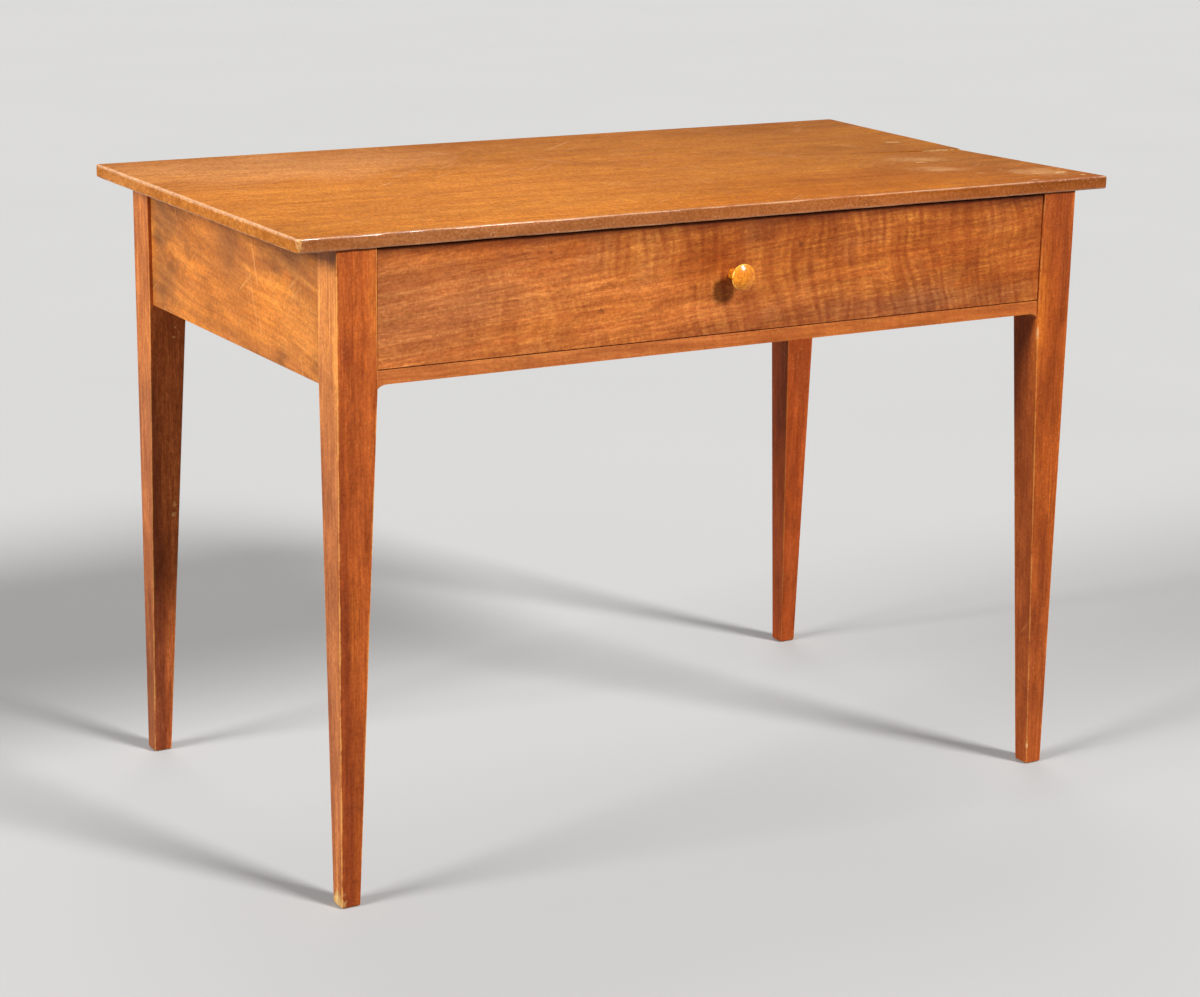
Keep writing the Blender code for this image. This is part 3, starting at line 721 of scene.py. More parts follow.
@dataclass(frozen=True)
class WoodFinish:
    """A board's colours, figure, polish and wear.

    Attributes:
        name: The material's name.
        slot: The record's material slot.
        pale, heart, dark: Colours between the rings, of the rings and of dark growth.
        worn: Colour of rubbed wood.
        grain: The axis that the grain runs along.
        shift, tilt, figure_scale: Where in the tree the board was cut, its turn in degrees, its scale.
        gold, smudge: Colour of the glints in curly wood, and the tint of smudges.
        strands, mottle, speckle: Shares of light and dark along the grain, in blotches and in speckle.
        strand_density, speckle_density: How fine the strands and the speckle are.
        ring_width, waviness: Width of the rings, and how far they wander.
        streaks, clouds, lines, flecks, fibre, pores: Shares of dark growth in each.
        curl, curl_start, wavelength: Share of the ripples of curly wood, where they begin, their pitch.
        smudges, grit, specks, scratches: Shares of what use has left.
        lies_flat: Whether scratches lie in a level face instead of an upright one.
        wear, reach: How bare the arrises are rubbed, and how wide.
        roughness, gloss, coat, coat_roughness: The polish.
        arris_shine: Shine of the rubbed arrises.
        relief: Height of the grain.
        marks, sides: Marks at one place, and sides with a look of their own.
    """

    FIBRE_ROUGHNESS: ClassVar[float] = 0.08
    SMUDGE_ROUGHNESS: ClassVar[float] = 0.12
    SIDE_FIBRE: ClassVar[float] = 0.25
    PORE_DEPTH: ClassVar[float] = 0.7
    SCRATCH_DEPTH: ClassVar[float] = 0.8
    RELIEF_HEIGHT: ClassVar[float] = 0.0002
    CURL_RUN: ClassVar[float] = 0.3
    CURL_SHADE: ClassVar[float] = 0.46
    CURL_GLOW: ClassVar[float] = 0.8
    DARKER_IS_REDDER: ClassVar[Point] = (0.9, 1.1, 1.3)

    name: str
    slot: str
    pale: Colour
    heart: Colour
    dark: Colour
    worn: Colour
    grain: Axis = Axis.X
    shift: Point = ORIGIN
    tilt: Point = ORIGIN
    gold: Colour = (0.72, 0.31, 0.07)
    smudge: Colour = (0.5, 0.5, 0.6)
    strands: float = 0.16
    mottle: float = 0.12
    speckle: float = 0.1
    strand_density: Point = (9.0, 230.0, 230.0)
    speckle_density: Point = (300.0, 300.0, 300.0)
    figure_scale: float = 1.0
    ring_width: float = 0.006
    waviness: float = 0.012
    streaks: float = 0.3
    clouds: float = 0.35
    lines: float = 0.25
    flecks: float = 0.3
    fibre: float = 0.22
    pores: float = 0.35
    curl: float = 0.0
    curl_start: float = -9.0
    wavelength: float = 0.0095
    smudges: float = 0.3
    grit: float = 0.22
    specks: float = 0.2
    scratches: float = 0.25
    lies_flat: bool = False
    wear: float = 0.7
    reach: float = 0.0016
    roughness: float = 0.42
    gloss: float = 0.09
    coat: float = 0.0
    coat_roughness: float = 0.2
    arris_shine: float = 0.0
    relief: float = 0.25
    marks: tuple[Mark, ...] = ()
    sides: tuple[Side, ...] = ()

    def material(self) -> bpy.types.Material:
        """Build the finish.

        Returns:
            The material.
        """
        made = bpy.data.materials.new(self.name)
        made.use_nodes = True
        g = Graph(made.node_tree)
        place = g.node("ShaderNodeTexCoord").outputs["Object"]
        coordinates = g.split(place)
        grain = self._grain(g, coordinates)
        feeds = {"Grain": grain, "Ring Width": self.ring_width, "Waviness": self.waviness}
        figure = g.place_group(figure_group(), feeds)
        upright = (0.0, 0.0, 1.0) if self.lies_flat else (0.0, 1.0, 0.0)
        age = g.place_group(age_group(), {"Vector": place, "Grain": grain, "Scratch Turn": upright})
        arris = g.node("ShaderNodeAttribute", attribute_name=ARRIS).outputs["Fac"]
        wear = g.place_group(wear_group(), {"Vector": place, "Arris": arris, "Reach": self.reach})[0]
        colour = self._figured(g, figure, grain, coordinates[Axis.X.value])
        smoothest = self.roughness - self.FIBRE_ROUGHNESS / 2
        roughness = g.math("MULTIPLY_ADD", figure["Fibre"], self.FIBRE_ROUGHNESS, smoothest)
        roughness = g.math("MULTIPLY_ADD", age["Smudges"], self.SMUDGE_ROUGHNESS * self.smudges, roughness)
        for side in self.sides:
            shown = g.ramp(coordinates[side.axis.value], side.start, side.full)
            colour = self._sided(g, colour, figure, side, shown)
            roughness = g.math("MULTIPLY_ADD", shown, side.rougher, roughness)
        colour = g.glaze(colour, age["Smudges"], self.smudges, self.smudge, "MULTIPLY")
        for mark in self.marks:
            colour = self._marked(g, colour, place, mark)
        colour = self._toned(g, colour, grain, place)
        colour = g.glaze(colour, age["Grit"], self.grit, self.dark)
        rubbed_and_highlit = ((age["Scratches"], self.scratches), (age["Specks"], self.specks), (wear, self.wear))
        for mask, share in rubbed_and_highlit:
            colour = g.glaze(colour, mask, share, self.worn)
        height = g.math("MULTIPLY_ADD", figure["Pores"], -self.PORE_DEPTH, figure["Fibre"])
        height = g.math("MULTIPLY_ADD", age["Scratches"], -self.SCRATCH_DEPTH, height)
        feeds = {"Strength": self.relief, "Distance": self.RELIEF_HEIGHT, "Height": height}
        bump = g.node("ShaderNodeBump", feeds).outputs[0]
        feeds = {"Base Color": colour, "Roughness": roughness, "Normal": bump, "Coat Weight": self.coat}
        feeds |= {"Specular IOR Level": self.gloss, "Coat Roughness": self.coat_roughness}
        if self.arris_shine:
            shine = g.ramp(arris, 2 * self.reach, self.reach)
            feeds["Coat Weight"] = g.math("MULTIPLY_ADD", shine, self.arris_shine, self.coat)
        g.feed_all(made.node_tree.nodes["Principled BSDF"], feeds)
        return made

    def _grain(self, g: Graph, coordinates: list[Socket]) -> Socket:
        """Find the place in the tree that each point of the board was cut from.

        Args:
            g: The material's nodes.
            coordinates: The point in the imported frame.

        Returns:
            The place, X along the grain.
        """
        first = self.grain.value
        order = [first, *(number for number in range(3) if number != first)]
        lined_up = g.join(*(coordinates[number] for number in order))
        turn = tuple(math.radians(angle) for angle in self.tilt)
        scale = (self.figure_scale,) * 3
        feeds = {"Vector": lined_up, "Location": self.shift, "Rotation": turn, "Scale": scale}
        return g.node("ShaderNodeMapping", feeds).outputs[0]

    def _figured(self, g: Graph, figure: bpy.types.NodeOutputs, grain: Socket, along: Socket) -> Socket:
        """Lay rings, dark growth and the ripples of curly wood over each other.

        Args:
            g: The material's nodes.
            figure: Masks of the wood's figure.
            grain: The place in the tree.
            along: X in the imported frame.

        Returns:
            The colour of clean wood.
        """
        colour = g.mix(figure["Rings"], self.pale, self.heart)
        for trait, share in (("Clouds", self.clouds), ("Streaks", self.streaks), ("Lines", self.lines)):
            colour = g.glaze(colour, figure[trait], share, self.dark)
        if self.curl:
            curly = g.place_group(curl_group(), {"Grain": grain, "Wavelength": self.wavelength})
            rise = g.ramp(along, self.curl_start, self.curl_start + self.CURL_RUN)
            here = g.math("MULTIPLY", rise, self.curl)
            colour = g.glaze(colour, g.math("MULTIPLY", curly["Curl"], here), self.CURL_SHADE, self.dark)
            colour = g.glaze(colour, g.math("MULTIPLY", curly["Glints"], here), self.CURL_GLOW, self.gold)
        for trait, share in (("Flecks", self.flecks), ("Fibre", self.fibre), ("Pores", self.pores)):
            colour = g.glaze(colour, figure[trait], share, self.dark)
        return colour

    def _sided(
        self, g: Graph, colour: Socket, figure: bpy.types.NodeOutputs, side: Side, shown: Socket
    ) -> Socket:
        """Give one side of the board its own look.

        Args:
            g: The material's nodes.
            colour: The colour below.
            figure: Masks of the wood's figure.
            side: The side.
            shown: Mask of where it shows.

        Returns:
            The colour with that side.
        """
        other = g.mix(figure["Rings"], side.pale, side.heart)
        if side.tint:
            return g.glaze(colour, shown, side.strength, other, "MULTIPLY")
        other = g.glaze(other, figure["Fibre"], self.SIDE_FIBRE, side.heart)
        return g.glaze(colour, shown, side.strength, other)

    def _toned(self, g: Graph, colour: Socket, grain: Socket, place: Socket) -> Socket:
        """Make the colour lighter and darker by strands, blotches and speckle.

        Args:
            g: The material's nodes.
            colour: The colour below.
            grain: The place in the tree.
            place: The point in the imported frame.

        Returns:
            The colour, redder where it is darker.
        """
        feeds = {"Grain": grain, "Vector": place}
        feeds |= {"Strand Density": self.strand_density, "Speckle Density": self.speckle_density}
        tone = g.place_group(tone_group(), feeds)
        level = 1.0 - self.strands - self.mottle - self.speckle
        for trait, share in (("Strands", self.strands), ("Mottle", self.mottle), ("Speckle", self.speckle)):
            level = g.math("MULTIPLY_ADD", tone[trait], 2 * share, level)
        tints = (g.math("POWER", level, power) for power in self.DARKER_IS_REDDER)
        return g.vector("MULTIPLY", colour, g.join(*tints))

    @staticmethod
    def _marked(g: Graph, colour: Socket, place: Socket, mark: Mark) -> Socket:
        """Lay one mark over the colour.

        Args:
            g: The material's nodes.
            colour: The colour below.
            place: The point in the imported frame.
            mark: The mark.

        Returns:
            The colour with the mark.
        """
        feeds = {"Vector": place, "Place": mark.place, "Size": mark.size, "Turn": math.radians(mark.turn)}
        feeds |= {"Ragged": mark.ragged, "Grit": mark.grit, "Core": mark.core}
        mask = g.place_group(mark_group(), feeds)["Mask"]
        return g.glaze(colour, mask, mark.strength, mark.colour, "MULTIPLY" if mark.tint else "MIX")


@dataclass(frozen=True)
class IronFinish:
    """Dull iron with rust in patches.

    Attributes:
        name: The material's name.
        slot: The record's material slot.
        bright: Colour of the iron.
        rust: Colour of the rust.
        rusted: Share of the rust.
        roughness, rust_roughness: Roughness of the iron, and what rust adds to it.
        rust_density, pit_density: How fine the rust and the pits are.
        pit_depth, pit_strength: Relief of the pits.
    """

    name: str
    slot: str
    bright: Colour
    rust: Colour
    rusted: float
    roughness: float = 0.4
    rust_roughness: float = 0.4
    rust_density: Point = (650.0, 650.0, 650.0)
    pit_density: Point = (2600.0, 2600.0, 2600.0)
    pit_depth: float = 0.0001
    pit_strength: float = 0.35

    def material(self) -> bpy.types.Material:
        """Build the finish.

        Returns:
            The material.
        """
        made = bpy.data.materials.new(self.name)
        made.use_nodes = True
        g = Graph(made.node_tree)
        place = g.node("ShaderNodeTexCoord").outputs["Object"]
        rust = g.math("MULTIPLY", g.patches(place, self.rust_density, 0.42, 0.62, 4.0, 0.6), self.rusted)
        pits = g.noise(place, self.pit_density, 2.0)
        feeds = {"Strength": self.pit_strength, "Distance": self.pit_depth, "Height": pits}
        bump = g.node("ShaderNodeBump", feeds).outputs[0]
        feeds = {"Base Color": g.mix(rust, self.bright, self.rust), "Normal": bump}
        feeds["Metallic"] = g.math("SUBTRACT", 1.0, rust)
        feeds["Roughness"] = g.math("MULTIPLY_ADD", rust, self.rust_roughness, self.roughness)
        g.feed_all(made.node_tree.nodes["Principled BSDF"], feeds)
        return made


# The unvarnished side of a varnished board
BARE_PALE: Colour = (0.47, 0.26, 0.115)
BARE_HEART: Colour = (0.36, 0.175, 0.07)
BARE_ROUGHER = 0.25

TOP_VARNISH = WoodFinish(
    name="top_varnish",
    slot="top_wood",
    pale=(0.55, 0.198, 0.0205),
    heart=(0.457, 0.146, 0.0139),
    dark=(0.25, 0.067, 0.0042),
    worn=(0.72, 0.42, 0.22),
    grain=Axis.X,
    smudge=(0.75, 0.78, 1.0),
    strands=0.07,
    mottle=0.1,
    speckle=0.21,
    strand_density=(4.0, 90.0, 90.0),
    speckle_density=(400.0, 190.0, 400.0),
    ring_width=0.03,
    waviness=0.05,
    streaks=0.14,
    clouds=0.34,
    lines=0.11,
    fibre=0.24,
    grit=0.32,
    roughness=0.44,
    specks=0.5,
    lies_flat=True,
    gloss=0.012,
    coat_roughness=0.18,
    arris_shine=0.95,
    wear=0.5,
)
LEG_VARNISH = WoodFinish(
    name="leg_varnish",
    slot="leg_wood",
    pale=(0.72, 0.174, 0.030),
    heart=(0.58, 0.126, 0.020),
    dark=(0.24, 0.045, 0.011),
    worn=(0.85, 0.40, 0.10),
    grain=Axis.Z,
    ring_width=0.009,
    waviness=0.008,
    strands=0.12,
    mottle=0.19,
    speckle=0.12,
    strand_density=(8.0, 220.0, 220.0),
    streaks=0.3,
    clouds=0.5,
    fibre=0.4,
    pores=0.5,
    specks=0.15,
    scratches=0.15,
    reach=0.0018,
    wear=0.55,
    smudge=(0.45, 0.42, 0.6),
)
APRON_VARNISH = WoodFinish(
    name="apron_varnish",
    slot="apron_wood",
    pale=(0.94, 0.324, 0.0435),
    heart=(0.80, 0.240, 0.0298),
    dark=(0.34, 0.105, 0.026),
    worn=(0.80, 0.38, 0.12),
    smudge=(0.48, 0.54, 0.9),
    strands=0.09,
    mottle=0.14,
    speckle=0.14,
    strand_density=(9.0, 150.0, 150.0),
    ring_width=0.010,
    waviness=0.05,
    streaks=0.4,
    clouds=0.45,
    flecks=0.22,
    smudges=0.85,
    scratches=0.5,
    roughness=0.48,
)
BARE_WOOD = WoodFinish(
    name="bare_wood",
    slot="inside_wood",
    pale=(0.60, 0.37, 0.165),
    heart=(0.48, 0.27, 0.108),
    dark=(0.29, 0.145, 0.052),
    worn=(0.66, 0.50, 0.30),
    smudge=(0.5, 0.5, 0.56),
    ring_width=0.005,
    fibre=0.35,
    roughness=0.74,
    gloss=0.08,
    relief=0.5,
)


# Meshes


def add_object(name: str, data: bpy.types.ID) -> bpy.types.Object:
    """Put a mesh, a lamp or a camera into the scene.

    Args:
        name: The object's name.
        data: What it holds.

    Returns:
        The object, at the origin.
    """
    obj = bpy.data.objects.new(name, data)
    bpy.context.scene.collection.objects.link(obj)
    return obj


def hand_over(obj: bpy.types.Object, body: str, slot: str, *nodes: str) -> None:
    """Let a finished piece ride on its body and stand for its CAD nodes.

    Args:
        obj: The piece.
        body: The body that it moves with.
        slot: The record's material slot; not used.
        nodes: The CAD nodes that it stands for.
    """
    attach(obj, body)
    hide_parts(*nodes)
    LOG.info("%s: %d faces on %s", obj.name, len(obj.data.polygons), body)


def shade_crisp(mesh: bpy.types.Mesh) -> None:
    """Shade a mesh smooth but for edges that really turn."""
    mesh.shade_smooth()
    mesh.set_sharp_from_angle(angle=CRISP_ANGLE)


def eased_copy(node: str, material: bpy.types.Material, radius: float) -> bpy.types.Object:
    """A copy of a CAD node whose outer arrises are eased.

    Args:
        node: The CAD node.
        material: What the copy is made of.
        radius: Radius of the arrises.

    Returns:
        The new piece, whose faces keep their distance from the nearest arris.
    """
    bm = bmesh.new()
    bm.from_mesh(frame["nodes"][node].data)
    bmesh.ops.remove_doubles(bm, verts=bm.verts, dist=MERGE_BELOW)
    bmesh.ops.dissolve_limit(bm, angle_limit=FLAT_ANGLE, verts=bm.verts, edges=bm.edges)
    shortest = 4 * radius
    arrises = [
        edge
        for edge in bm.edges
        if edge.is_convex and edge.calc_face_angle(0.0) > ARRIS_ANGLE and edge.calc_length() > shortest
    ]
    easing = dict(offset=radius, segments=2, profile=0.5, affect="EDGES", clamp_overlap=True)
    made = bmesh.ops.bevel(bm, geom=arrises, **easing)
    strips = set(made["faces"])
    layer = bm.faces.layers.float.new(ARRIS)
    for face in bm.faces:
        face[layer] = 0.0 if face in strips else FAR_FROM_ARRIS
    mesh = bpy.data.meshes.new(f"{node}_aged")
    bm.to_mesh(mesh)
    bm.free()
    mesh.materials.append(material)
    return add_object(mesh.name, mesh)


def dress_node(node: str, body: str, finish: WoodFinish, radius: float) -> None:
    """Put an eased and finished copy in the place of a CAD node.

    Args:
        node: The CAD node.
        body: The body that it moves with.
        finish: The look of the copy.
        radius: Radius of its arrises.
    """
    hand_over(eased_copy(node, finish.material(), radius), body, finish.slot, node)


def grown(
    name: str, tree: bpy.types.NodeTree, values: dict[str, object], seats: bpy.types.Mesh | None = None
) -> bpy.types.Object:
    """Run a geometry tree and keep its result as a plain mesh.

    Args:
        name: The piece's name.
        tree: The tree.
        values: Its inputs, by name.
        seats: Points that the tree works on, where it needs any.

    Returns:
        The piece, at the origin and without modifiers.
    """
    obj = add_object(name, seats or bpy.data.meshes.new(f"{name}_seed"))
    modifier = obj.modifiers.new(tree.name, "NODES")
    modifier.node_group = tree
    for item in tree.interface.items_tree:
        if item.in_out == "INPUT" and item.name in values:
            modifier[item.identifier] = values[item.name]
    evaluated = obj.evaluated_get(bpy.context.evaluated_depsgraph_get())
    mesh = bpy.data.meshes.new_from_object(evaluated)
    obj.modifiers.clear()
    obj.data = mesh
    mesh.name = name
    return obj


def cut_places(low: float, high: float, pitch: float) -> np.ndarray:
    """Places of the cuts across a board, close together near its two edges.

    Args:
        low: Place of one edge.
        high: Place of the other edge.
        pitch: Distance between the cuts in the middle.

    Returns:
        The places, the edges among them.
    """
    millimetres = (0.0, 0.3, 0.6, 1.0, 1.5, 2.2, 3.2, 4.7, 7.0, 11.0, 18.0, 30.0)
    short_of_middle = (high - low) / 2.2
    near = np.array(millimetres) / 1000
    near = near[near < short_of_middle]
    inner = np.arange(low + near[-1], high - near[-1], pitch)[1:]
    return np.concatenate([low + near, inner, (high - near)[::-1]])


def block_surface(cuts: list[np.ndarray]) -> tuple[np.ndarray, np.ndarray]:
    """A closed block of quads.

    Args:
        cuts: Places of the cuts along each axis, the outer faces included.

    Returns:
        The points and the quads, which point outwards.
    """
    shape = tuple(len(places) for places in cuts)
    outside = np.ones(shape, bool)
    outside[1:-1, 1:-1, 1:-1] = False
    index = np.full(shape, -1)
    index[outside] = np.arange(outside.sum())
    points = np.stack(np.meshgrid(*cuts, indexing="ij"), axis=-1)[outside]
    quads = []
    for axis in Axis:
        for end in (0, -1):
            sheet = np.take(index, end, axis=axis.value)
            corners = (sheet[:-1, :-1], sheet[1:, :-1], sheet[1:, 1:], sheet[:-1, 1:])
            faces = np.stack(corners, axis=-1).reshape(-1, 4)
            quads.append(faces[:, ::-1] if (axis is Axis.Y) == (end == -1) else faces)
    return points, np.concatenate(quads)


def round_edge(points: np.ndarray, first: Face, second: Face, radius: np.ndarray | float) -> None:
    """Round the edge where two faces of a block meet.

    Args:
        points: The block's points, which are moved.
        first: One face as its axis, its place and its outward sign.
        second: The other face in the same way.
        radius: The radius, for all points or for each.
    """
    depths = []
    for axis, place, outward in (first, second):
        depths.append(np.maximum(radius - (place - points[:, axis.value]) * outward, 0.0))
    length = np.maximum(np.hypot(*depths), MERGE_BELOW)
    share = 1.0 - np.maximum(*depths) / length
    for (axis, _, outward), depth in zip((first, second), depths):
        points[:, axis.value] -= outward * depth * share


def wander(places: np.ndarray, pitch: float, seed: int) -> np.ndarray:
    """A smooth random run of values from -1 to 1 along some places.

    Args:
        places: Where the run is read.
        pitch: Distance between the random values.
        seed: Seed of the random values.

    Returns:
        The value at each place.
    """
    steps = (places - places.min()) / pitch
    knots = np.random.default_rng(seed).uniform(-1.0, 1.0, int(steps.max()) + 3)
    whole = steps.astype(int)
    share = steps - whole
    share = share * share * (3.0 - 2.0 * share)
    return knots[whole] * (1.0 - share) + knots[whole + 1] * share


def smooth_step(values: np.ndarray, start: float, end: float) -> np.ndarray:
    """A smooth step from 0 at start to 1 at end."""
    share = np.clip((values - start) / (end - start), 0.0, 1.0)
    return share * share * (3.0 - 2.0 * share)


# Top


@dataclass
class TableTop:
    """The two boards of the top: worn arrises, blunted corners and a dip where they part at the right end."""

    level: float = 0.711
    arris: float = 0.0016
    arris_wander: float = 0.0007
    wander_pitch: float = 0.013
    wander_seed: int = 11
    cut_pitch: float = 0.012
    corner: float = 0.003
    end_wear_back: float = 0.0012
    front_left_corner: float = 0.0055
    dip: float = 0.0048
    rear_dip: float = 0.0036
    dip_start: float = 0.30
    apron_face: float = 0.468
    joint_depth: float = 0.002
    parting_start: float = 0.444
    parting: float = 0.0006
    under_skin: Depths = (0.0013, 0.0002)
    end_skin: Depths = (0.00195, 0.00095)
    edge_skin: Depths = (0.0014, 0.0006)
    end_grain: tuple[Colour, Colour] = ((0.62, 0.225, 0.045), (0.50, 0.16, 0.028))
    front_edge: tuple[Colour, Colour] = ((0.38, 0.145, 0.055), (0.28, 0.097, 0.034))

    def build(self) -> None:
        """Make both boards and dress them."""
        boards = (
            ("top_front_board", -1, (0.2, 0.10, -0.58), self._front_marks()),
            ("top_rear_board", 1, (1.6, -0.07, -0.60), self._rear_marks()),
        )
        for node, outward, shift, marks in boards:
            sides = self._sides(node, outward)
            finish = replace(TOP_VARNISH, name=f"{node}_varnish", shift=shift, marks=marks, sides=sides)
            hand_over(self._board(node, outward, finish), FRAME_BODY, finish.slot, node)

    def _board(self, node: str, outward: int, finish: WoodFinish) -> bpy.types.Object:
        """One board.

        Args:
            node: The CAD node that it stands for.
            outward: Which way along Y its outer edge faces.
            finish: Its look.

        Returns:
            The piece.
        """
        low, high = (np.array(corner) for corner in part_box(node))
        outer, joint = (low[1], high[1]) if outward < 0 else (high[1], low[1])
        points, quads = block_surface([cut_places(a, b, self.cut_pitch) for a, b in zip(low, high)])
        from_ends = np.minimum(points[:, 0] - low[0], high[0] - points[:, 0])
        from_rim = np.minimum(from_ends + self.end_wear_back, np.abs(points[:, 1] - outer))
        from_faces = np.minimum(points[:, 2] - low[2], high[2] - points[:, 2])
        arris = np.minimum(from_rim + from_faces, FAR_FROM_ARRIS)
        self._ease(points, low, high, (Axis.Y, outer, outward))
        self._sink(points, low, high, joint, outer)
        mesh = bpy.data.meshes.new(f"{node}_aged")
        mesh.from_pydata(points.tolist(), [], quads.tolist())
        mesh.attributes.new(ARRIS, "FLOAT", "POINT").data.foreach_set("value", arris.astype(np.float32))
        mesh.materials.append(finish.material())
        shade_crisp(mesh)
        return add_object(mesh.name, mesh)

    def _ease(self, points: np.ndarray, low: np.ndarray, high: np.ndarray, edge: Face) -> None:
        """Round the rims and the outer corners, with a radius that wanders.

        Args:
            points: The board's points, which are moved.
            low: Its lowest corner.
            high: Its highest corner.
            edge: Its outer edge.
        """
        outward = edge[2]
        along = points[:, 0] + points[:, 1]
        ends = ((Axis.X, low[0], -1), (Axis.X, high[0], 1))
        for face in ((Axis.Z, low[2], -1), (Axis.Z, high[2], 1)):
            seed = self.wander_seed + face[2] + 3 * outward
            radius = self.arris + self.arris_wander * wander(along, self.wander_pitch, seed)
            for rim in (edge, *ends):
                round_edge(points, rim, face, radius)
        for end in ends:
            radius = self.front_left_corner if end[2] < 0 and outward < 0 else self.corner
            round_edge(points, end, edge, radius)

    def _sink(
        self, points: np.ndarray, low: np.ndarray, high: np.ndarray, joint: float, outer: float
    ) -> None:
        """Let the board dip towards the joint at its right end, and part from the other board there.

        Args:
            points: The board's points, which are moved.
            low: Its lowest corner.
            high: Its highest corner.
            joint: Y of the edge that meets the other board.
            outer: Y of the other edge.
        """
        to_joint = 1.0 - np.clip(np.abs(points[:, 1] - joint) / abs(outer - joint), 0.0, 1.0)
        above = smooth_step(points[:, 0], self.dip_start, high[0])
        below = smooth_step(points[:, 0], self.apron_face, high[0])
        height = (points[:, 2] - low[2]) / (high[2] - low[2])
        dip = self.dip if outer < joint else self.rear_dip
        points[:, 2] -= dip * to_joint * (above * height + below * (1.0 - height))
        at_joint = np.abs(points[:, 1] - joint) < self.joint_depth
        spread = self.parting * smooth_step(points[:, 0], self.parting_start, high[0])
        points[:, 1] += np.where(at_joint, spread * np.sign(outer - joint), 0.0)

    def _sides(self, node: str, outward: int) -> tuple[Side, ...]:
        """The bare underside, the end grain and the shaded front edge.

        Args:
            node: The CAD node of the board.
            outward: Which way along Y its outer edge faces.

        Returns:
            The sides that the board has.
        """
        sides = [Side.bare(node, Axis.Z, -1, self.under_skin)]
        for way in (-1, 1):
            sides.append(Side.facing(node, Axis.X, way, self.end_skin, *self.end_grain, strength=0.7))
        if outward < 0:
            sides.append(Side.facing(node, Axis.Y, outward, self.edge_skin, *self.front_edge))
        return tuple(sides)

    def _marks_on_both(self) -> tuple[Mark, Mark, Mark, Mark]:
        """Marks that run over both boards.

        Returns:
            Painted light, painted shade on the right end, filler, and the left arris: wear and painted
            highlight.
        """
        level = self.level
        # Painted light: the left part of the top lighter and bluer, as where the light falls on it
        painted_light = Mark.stain((-0.30, -0.08, level), (0.42, 0.26, 0.008), (1.25, 1.27, 1.55))
        # Painted shade: the right end of the top darker and browner, where the light falls off
        painted_shade_tint = (0.70, 0.67, 0.48)
        painted_shade_right = Mark.stain((0.52, 0.05, level), (0.46, 0.60, 0.012), painted_shade_tint, ragged=0.12, core=0.1)
        size = (0.040, 0.0030, 0.02)
        filler = Mark((0.478, 0.009, level), size, (0.80, 0.56, 0.32), 0.65, ragged=0.55, grit=220.0)
        # The left end's arris paler: wear, and a painted highlight where its round-over catches the light
        size = (0.0036, 0.60, 0.0030)
        rubbed_and_highlit = Mark((-0.5082, 0.0, 0.7102), size, (0.86, 0.48, 0.25), 0.6, ragged=0.12, grit=90.0)
        return painted_light, painted_shade_right, filler, rubbed_and_highlit

    def _scuff(self, x: float, y: float, length: float, width: float, turn: float) -> Mark:
        """A pale scuff on the upper face."""
        size = (length, width, 0.01)
        return Mark((x, y, self.level), size, (0.86, 0.62, 0.36), 0.6, turn, ragged=0.5, grit=260.0)

    def _rear_marks(self) -> tuple[Mark, ...]:
        """The marks of the rear board, in the order they lie on each other.

        Returns:
            The marks, broad tints first and a scuff last.
        """
        painted_light, painted_shade_right, filler, rubbed_and_highlit = self._marks_on_both()
        # Painted sheen: a paler, greyer patch at the rear left of the top
        place, size = (-0.34, 0.20, self.level), (0.36, 0.17, 0.05)
        dust_and_sheen = Mark(place, size, (0.64, 0.275, 0.090), 0.55, ragged=0.2, grit=12.0, core=0.1)
        # Painted shade: the rear of the top darker
        shaded = Mark.stain((0.0, 0.30, self.level), (0.9, 0.20, 0.02), (0.80, 0.77, 0.72))
        scuff = self._scuff(0.463, 0.081, 0.016, 0.0035, 12.0)
        return dust_and_sheen, shaded, painted_light, filler, painted_shade_right, rubbed_and_highlit, scuff

    def _front_marks(self) -> tuple[Mark, ...]:
        """The marks of the front board, in the order they lie on each other.

        Returns:
            The marks, broad tints first and fine scratches last.
        """
        level = self.level
        painted_light, painted_shade_right, filler, rubbed_and_highlit = self._marks_on_both()
        place, size = (-0.05, -0.245, level), (0.62, 0.060, 0.006)
        rich = Mark.stain(place, size, (1.12, 1.10, 1.0), ragged=0.15, grit=14.0, core=0.1)
        redder = Mark.stain((0.27, -0.24, level), (0.46, 0.19, 0.006), (0.92, 0.78, 0.28))
        deeper = Mark.stain((0.50, -0.268, 0.704), (0.80, 0.006, 0.03), (0.94, 0.76, 0.58))
        place, size = (-0.508, -0.266, 0.706), (0.006, 0.006, 0.010)
        blunt = Mark(place, size, (0.74, 0.40, 0.15), 0.7, ragged=0.35, grit=420.0)
        # Painted sheen: pale, greyish patches on the right half of the top
        painted_sheen = (
            Mark((x, y, level), size, (0.66, 0.38, 0.17), 0.35, 15.0, ragged=0.35, grit=60.0, core=0.0)
            for x, y, size in (
                (0.46, -0.20, (0.05, 0.05, 0.01)),
                (0.36, -0.14, (0.05, 0.03, 0.01)),
                (0.40, -0.06, (0.06, 0.03, 0.01)),
            )
        )
        scuffs = (
            self._scuff(0.381, -0.082, 0.013, 0.0022, 4.0),
            self._scuff(0.392, -0.184, 0.008, 0.0015, 20.0),
            self._scuff(0.432, -0.167, 0.003, 0.0020, 0.0),
            self._scuff(0.442, -0.207, 0.022, 0.0014, 35.0),
            self._scuff(0.481, -0.216, 0.012, 0.0050, 0.0),
            self._scuff(0.492, -0.243, 0.005, 0.0030, 0.0),
            self._scuff(0.415, -0.252, 0.009, 0.0015, 0.0),
        )
        scratches = (
            Mark((x, y, level), (length, 0.0011, 0.01), (0.33, 0.10, 0.022), 0.6, turn, 0.25)
            for x, y, length, turn in (
                (-0.33, -0.09, 0.03, 14.0),
                (-0.29, -0.075, 0.045, 8.0),
                (-0.40, 0.0, 0.03, 3.0),
            )
        )
        broad = (rich, painted_light, redder, painted_shade_right, deeper)
        return (*broad, filler, blunt, rubbed_and_highlit, *painted_sheen, *scuffs, *scratches)


# Legs


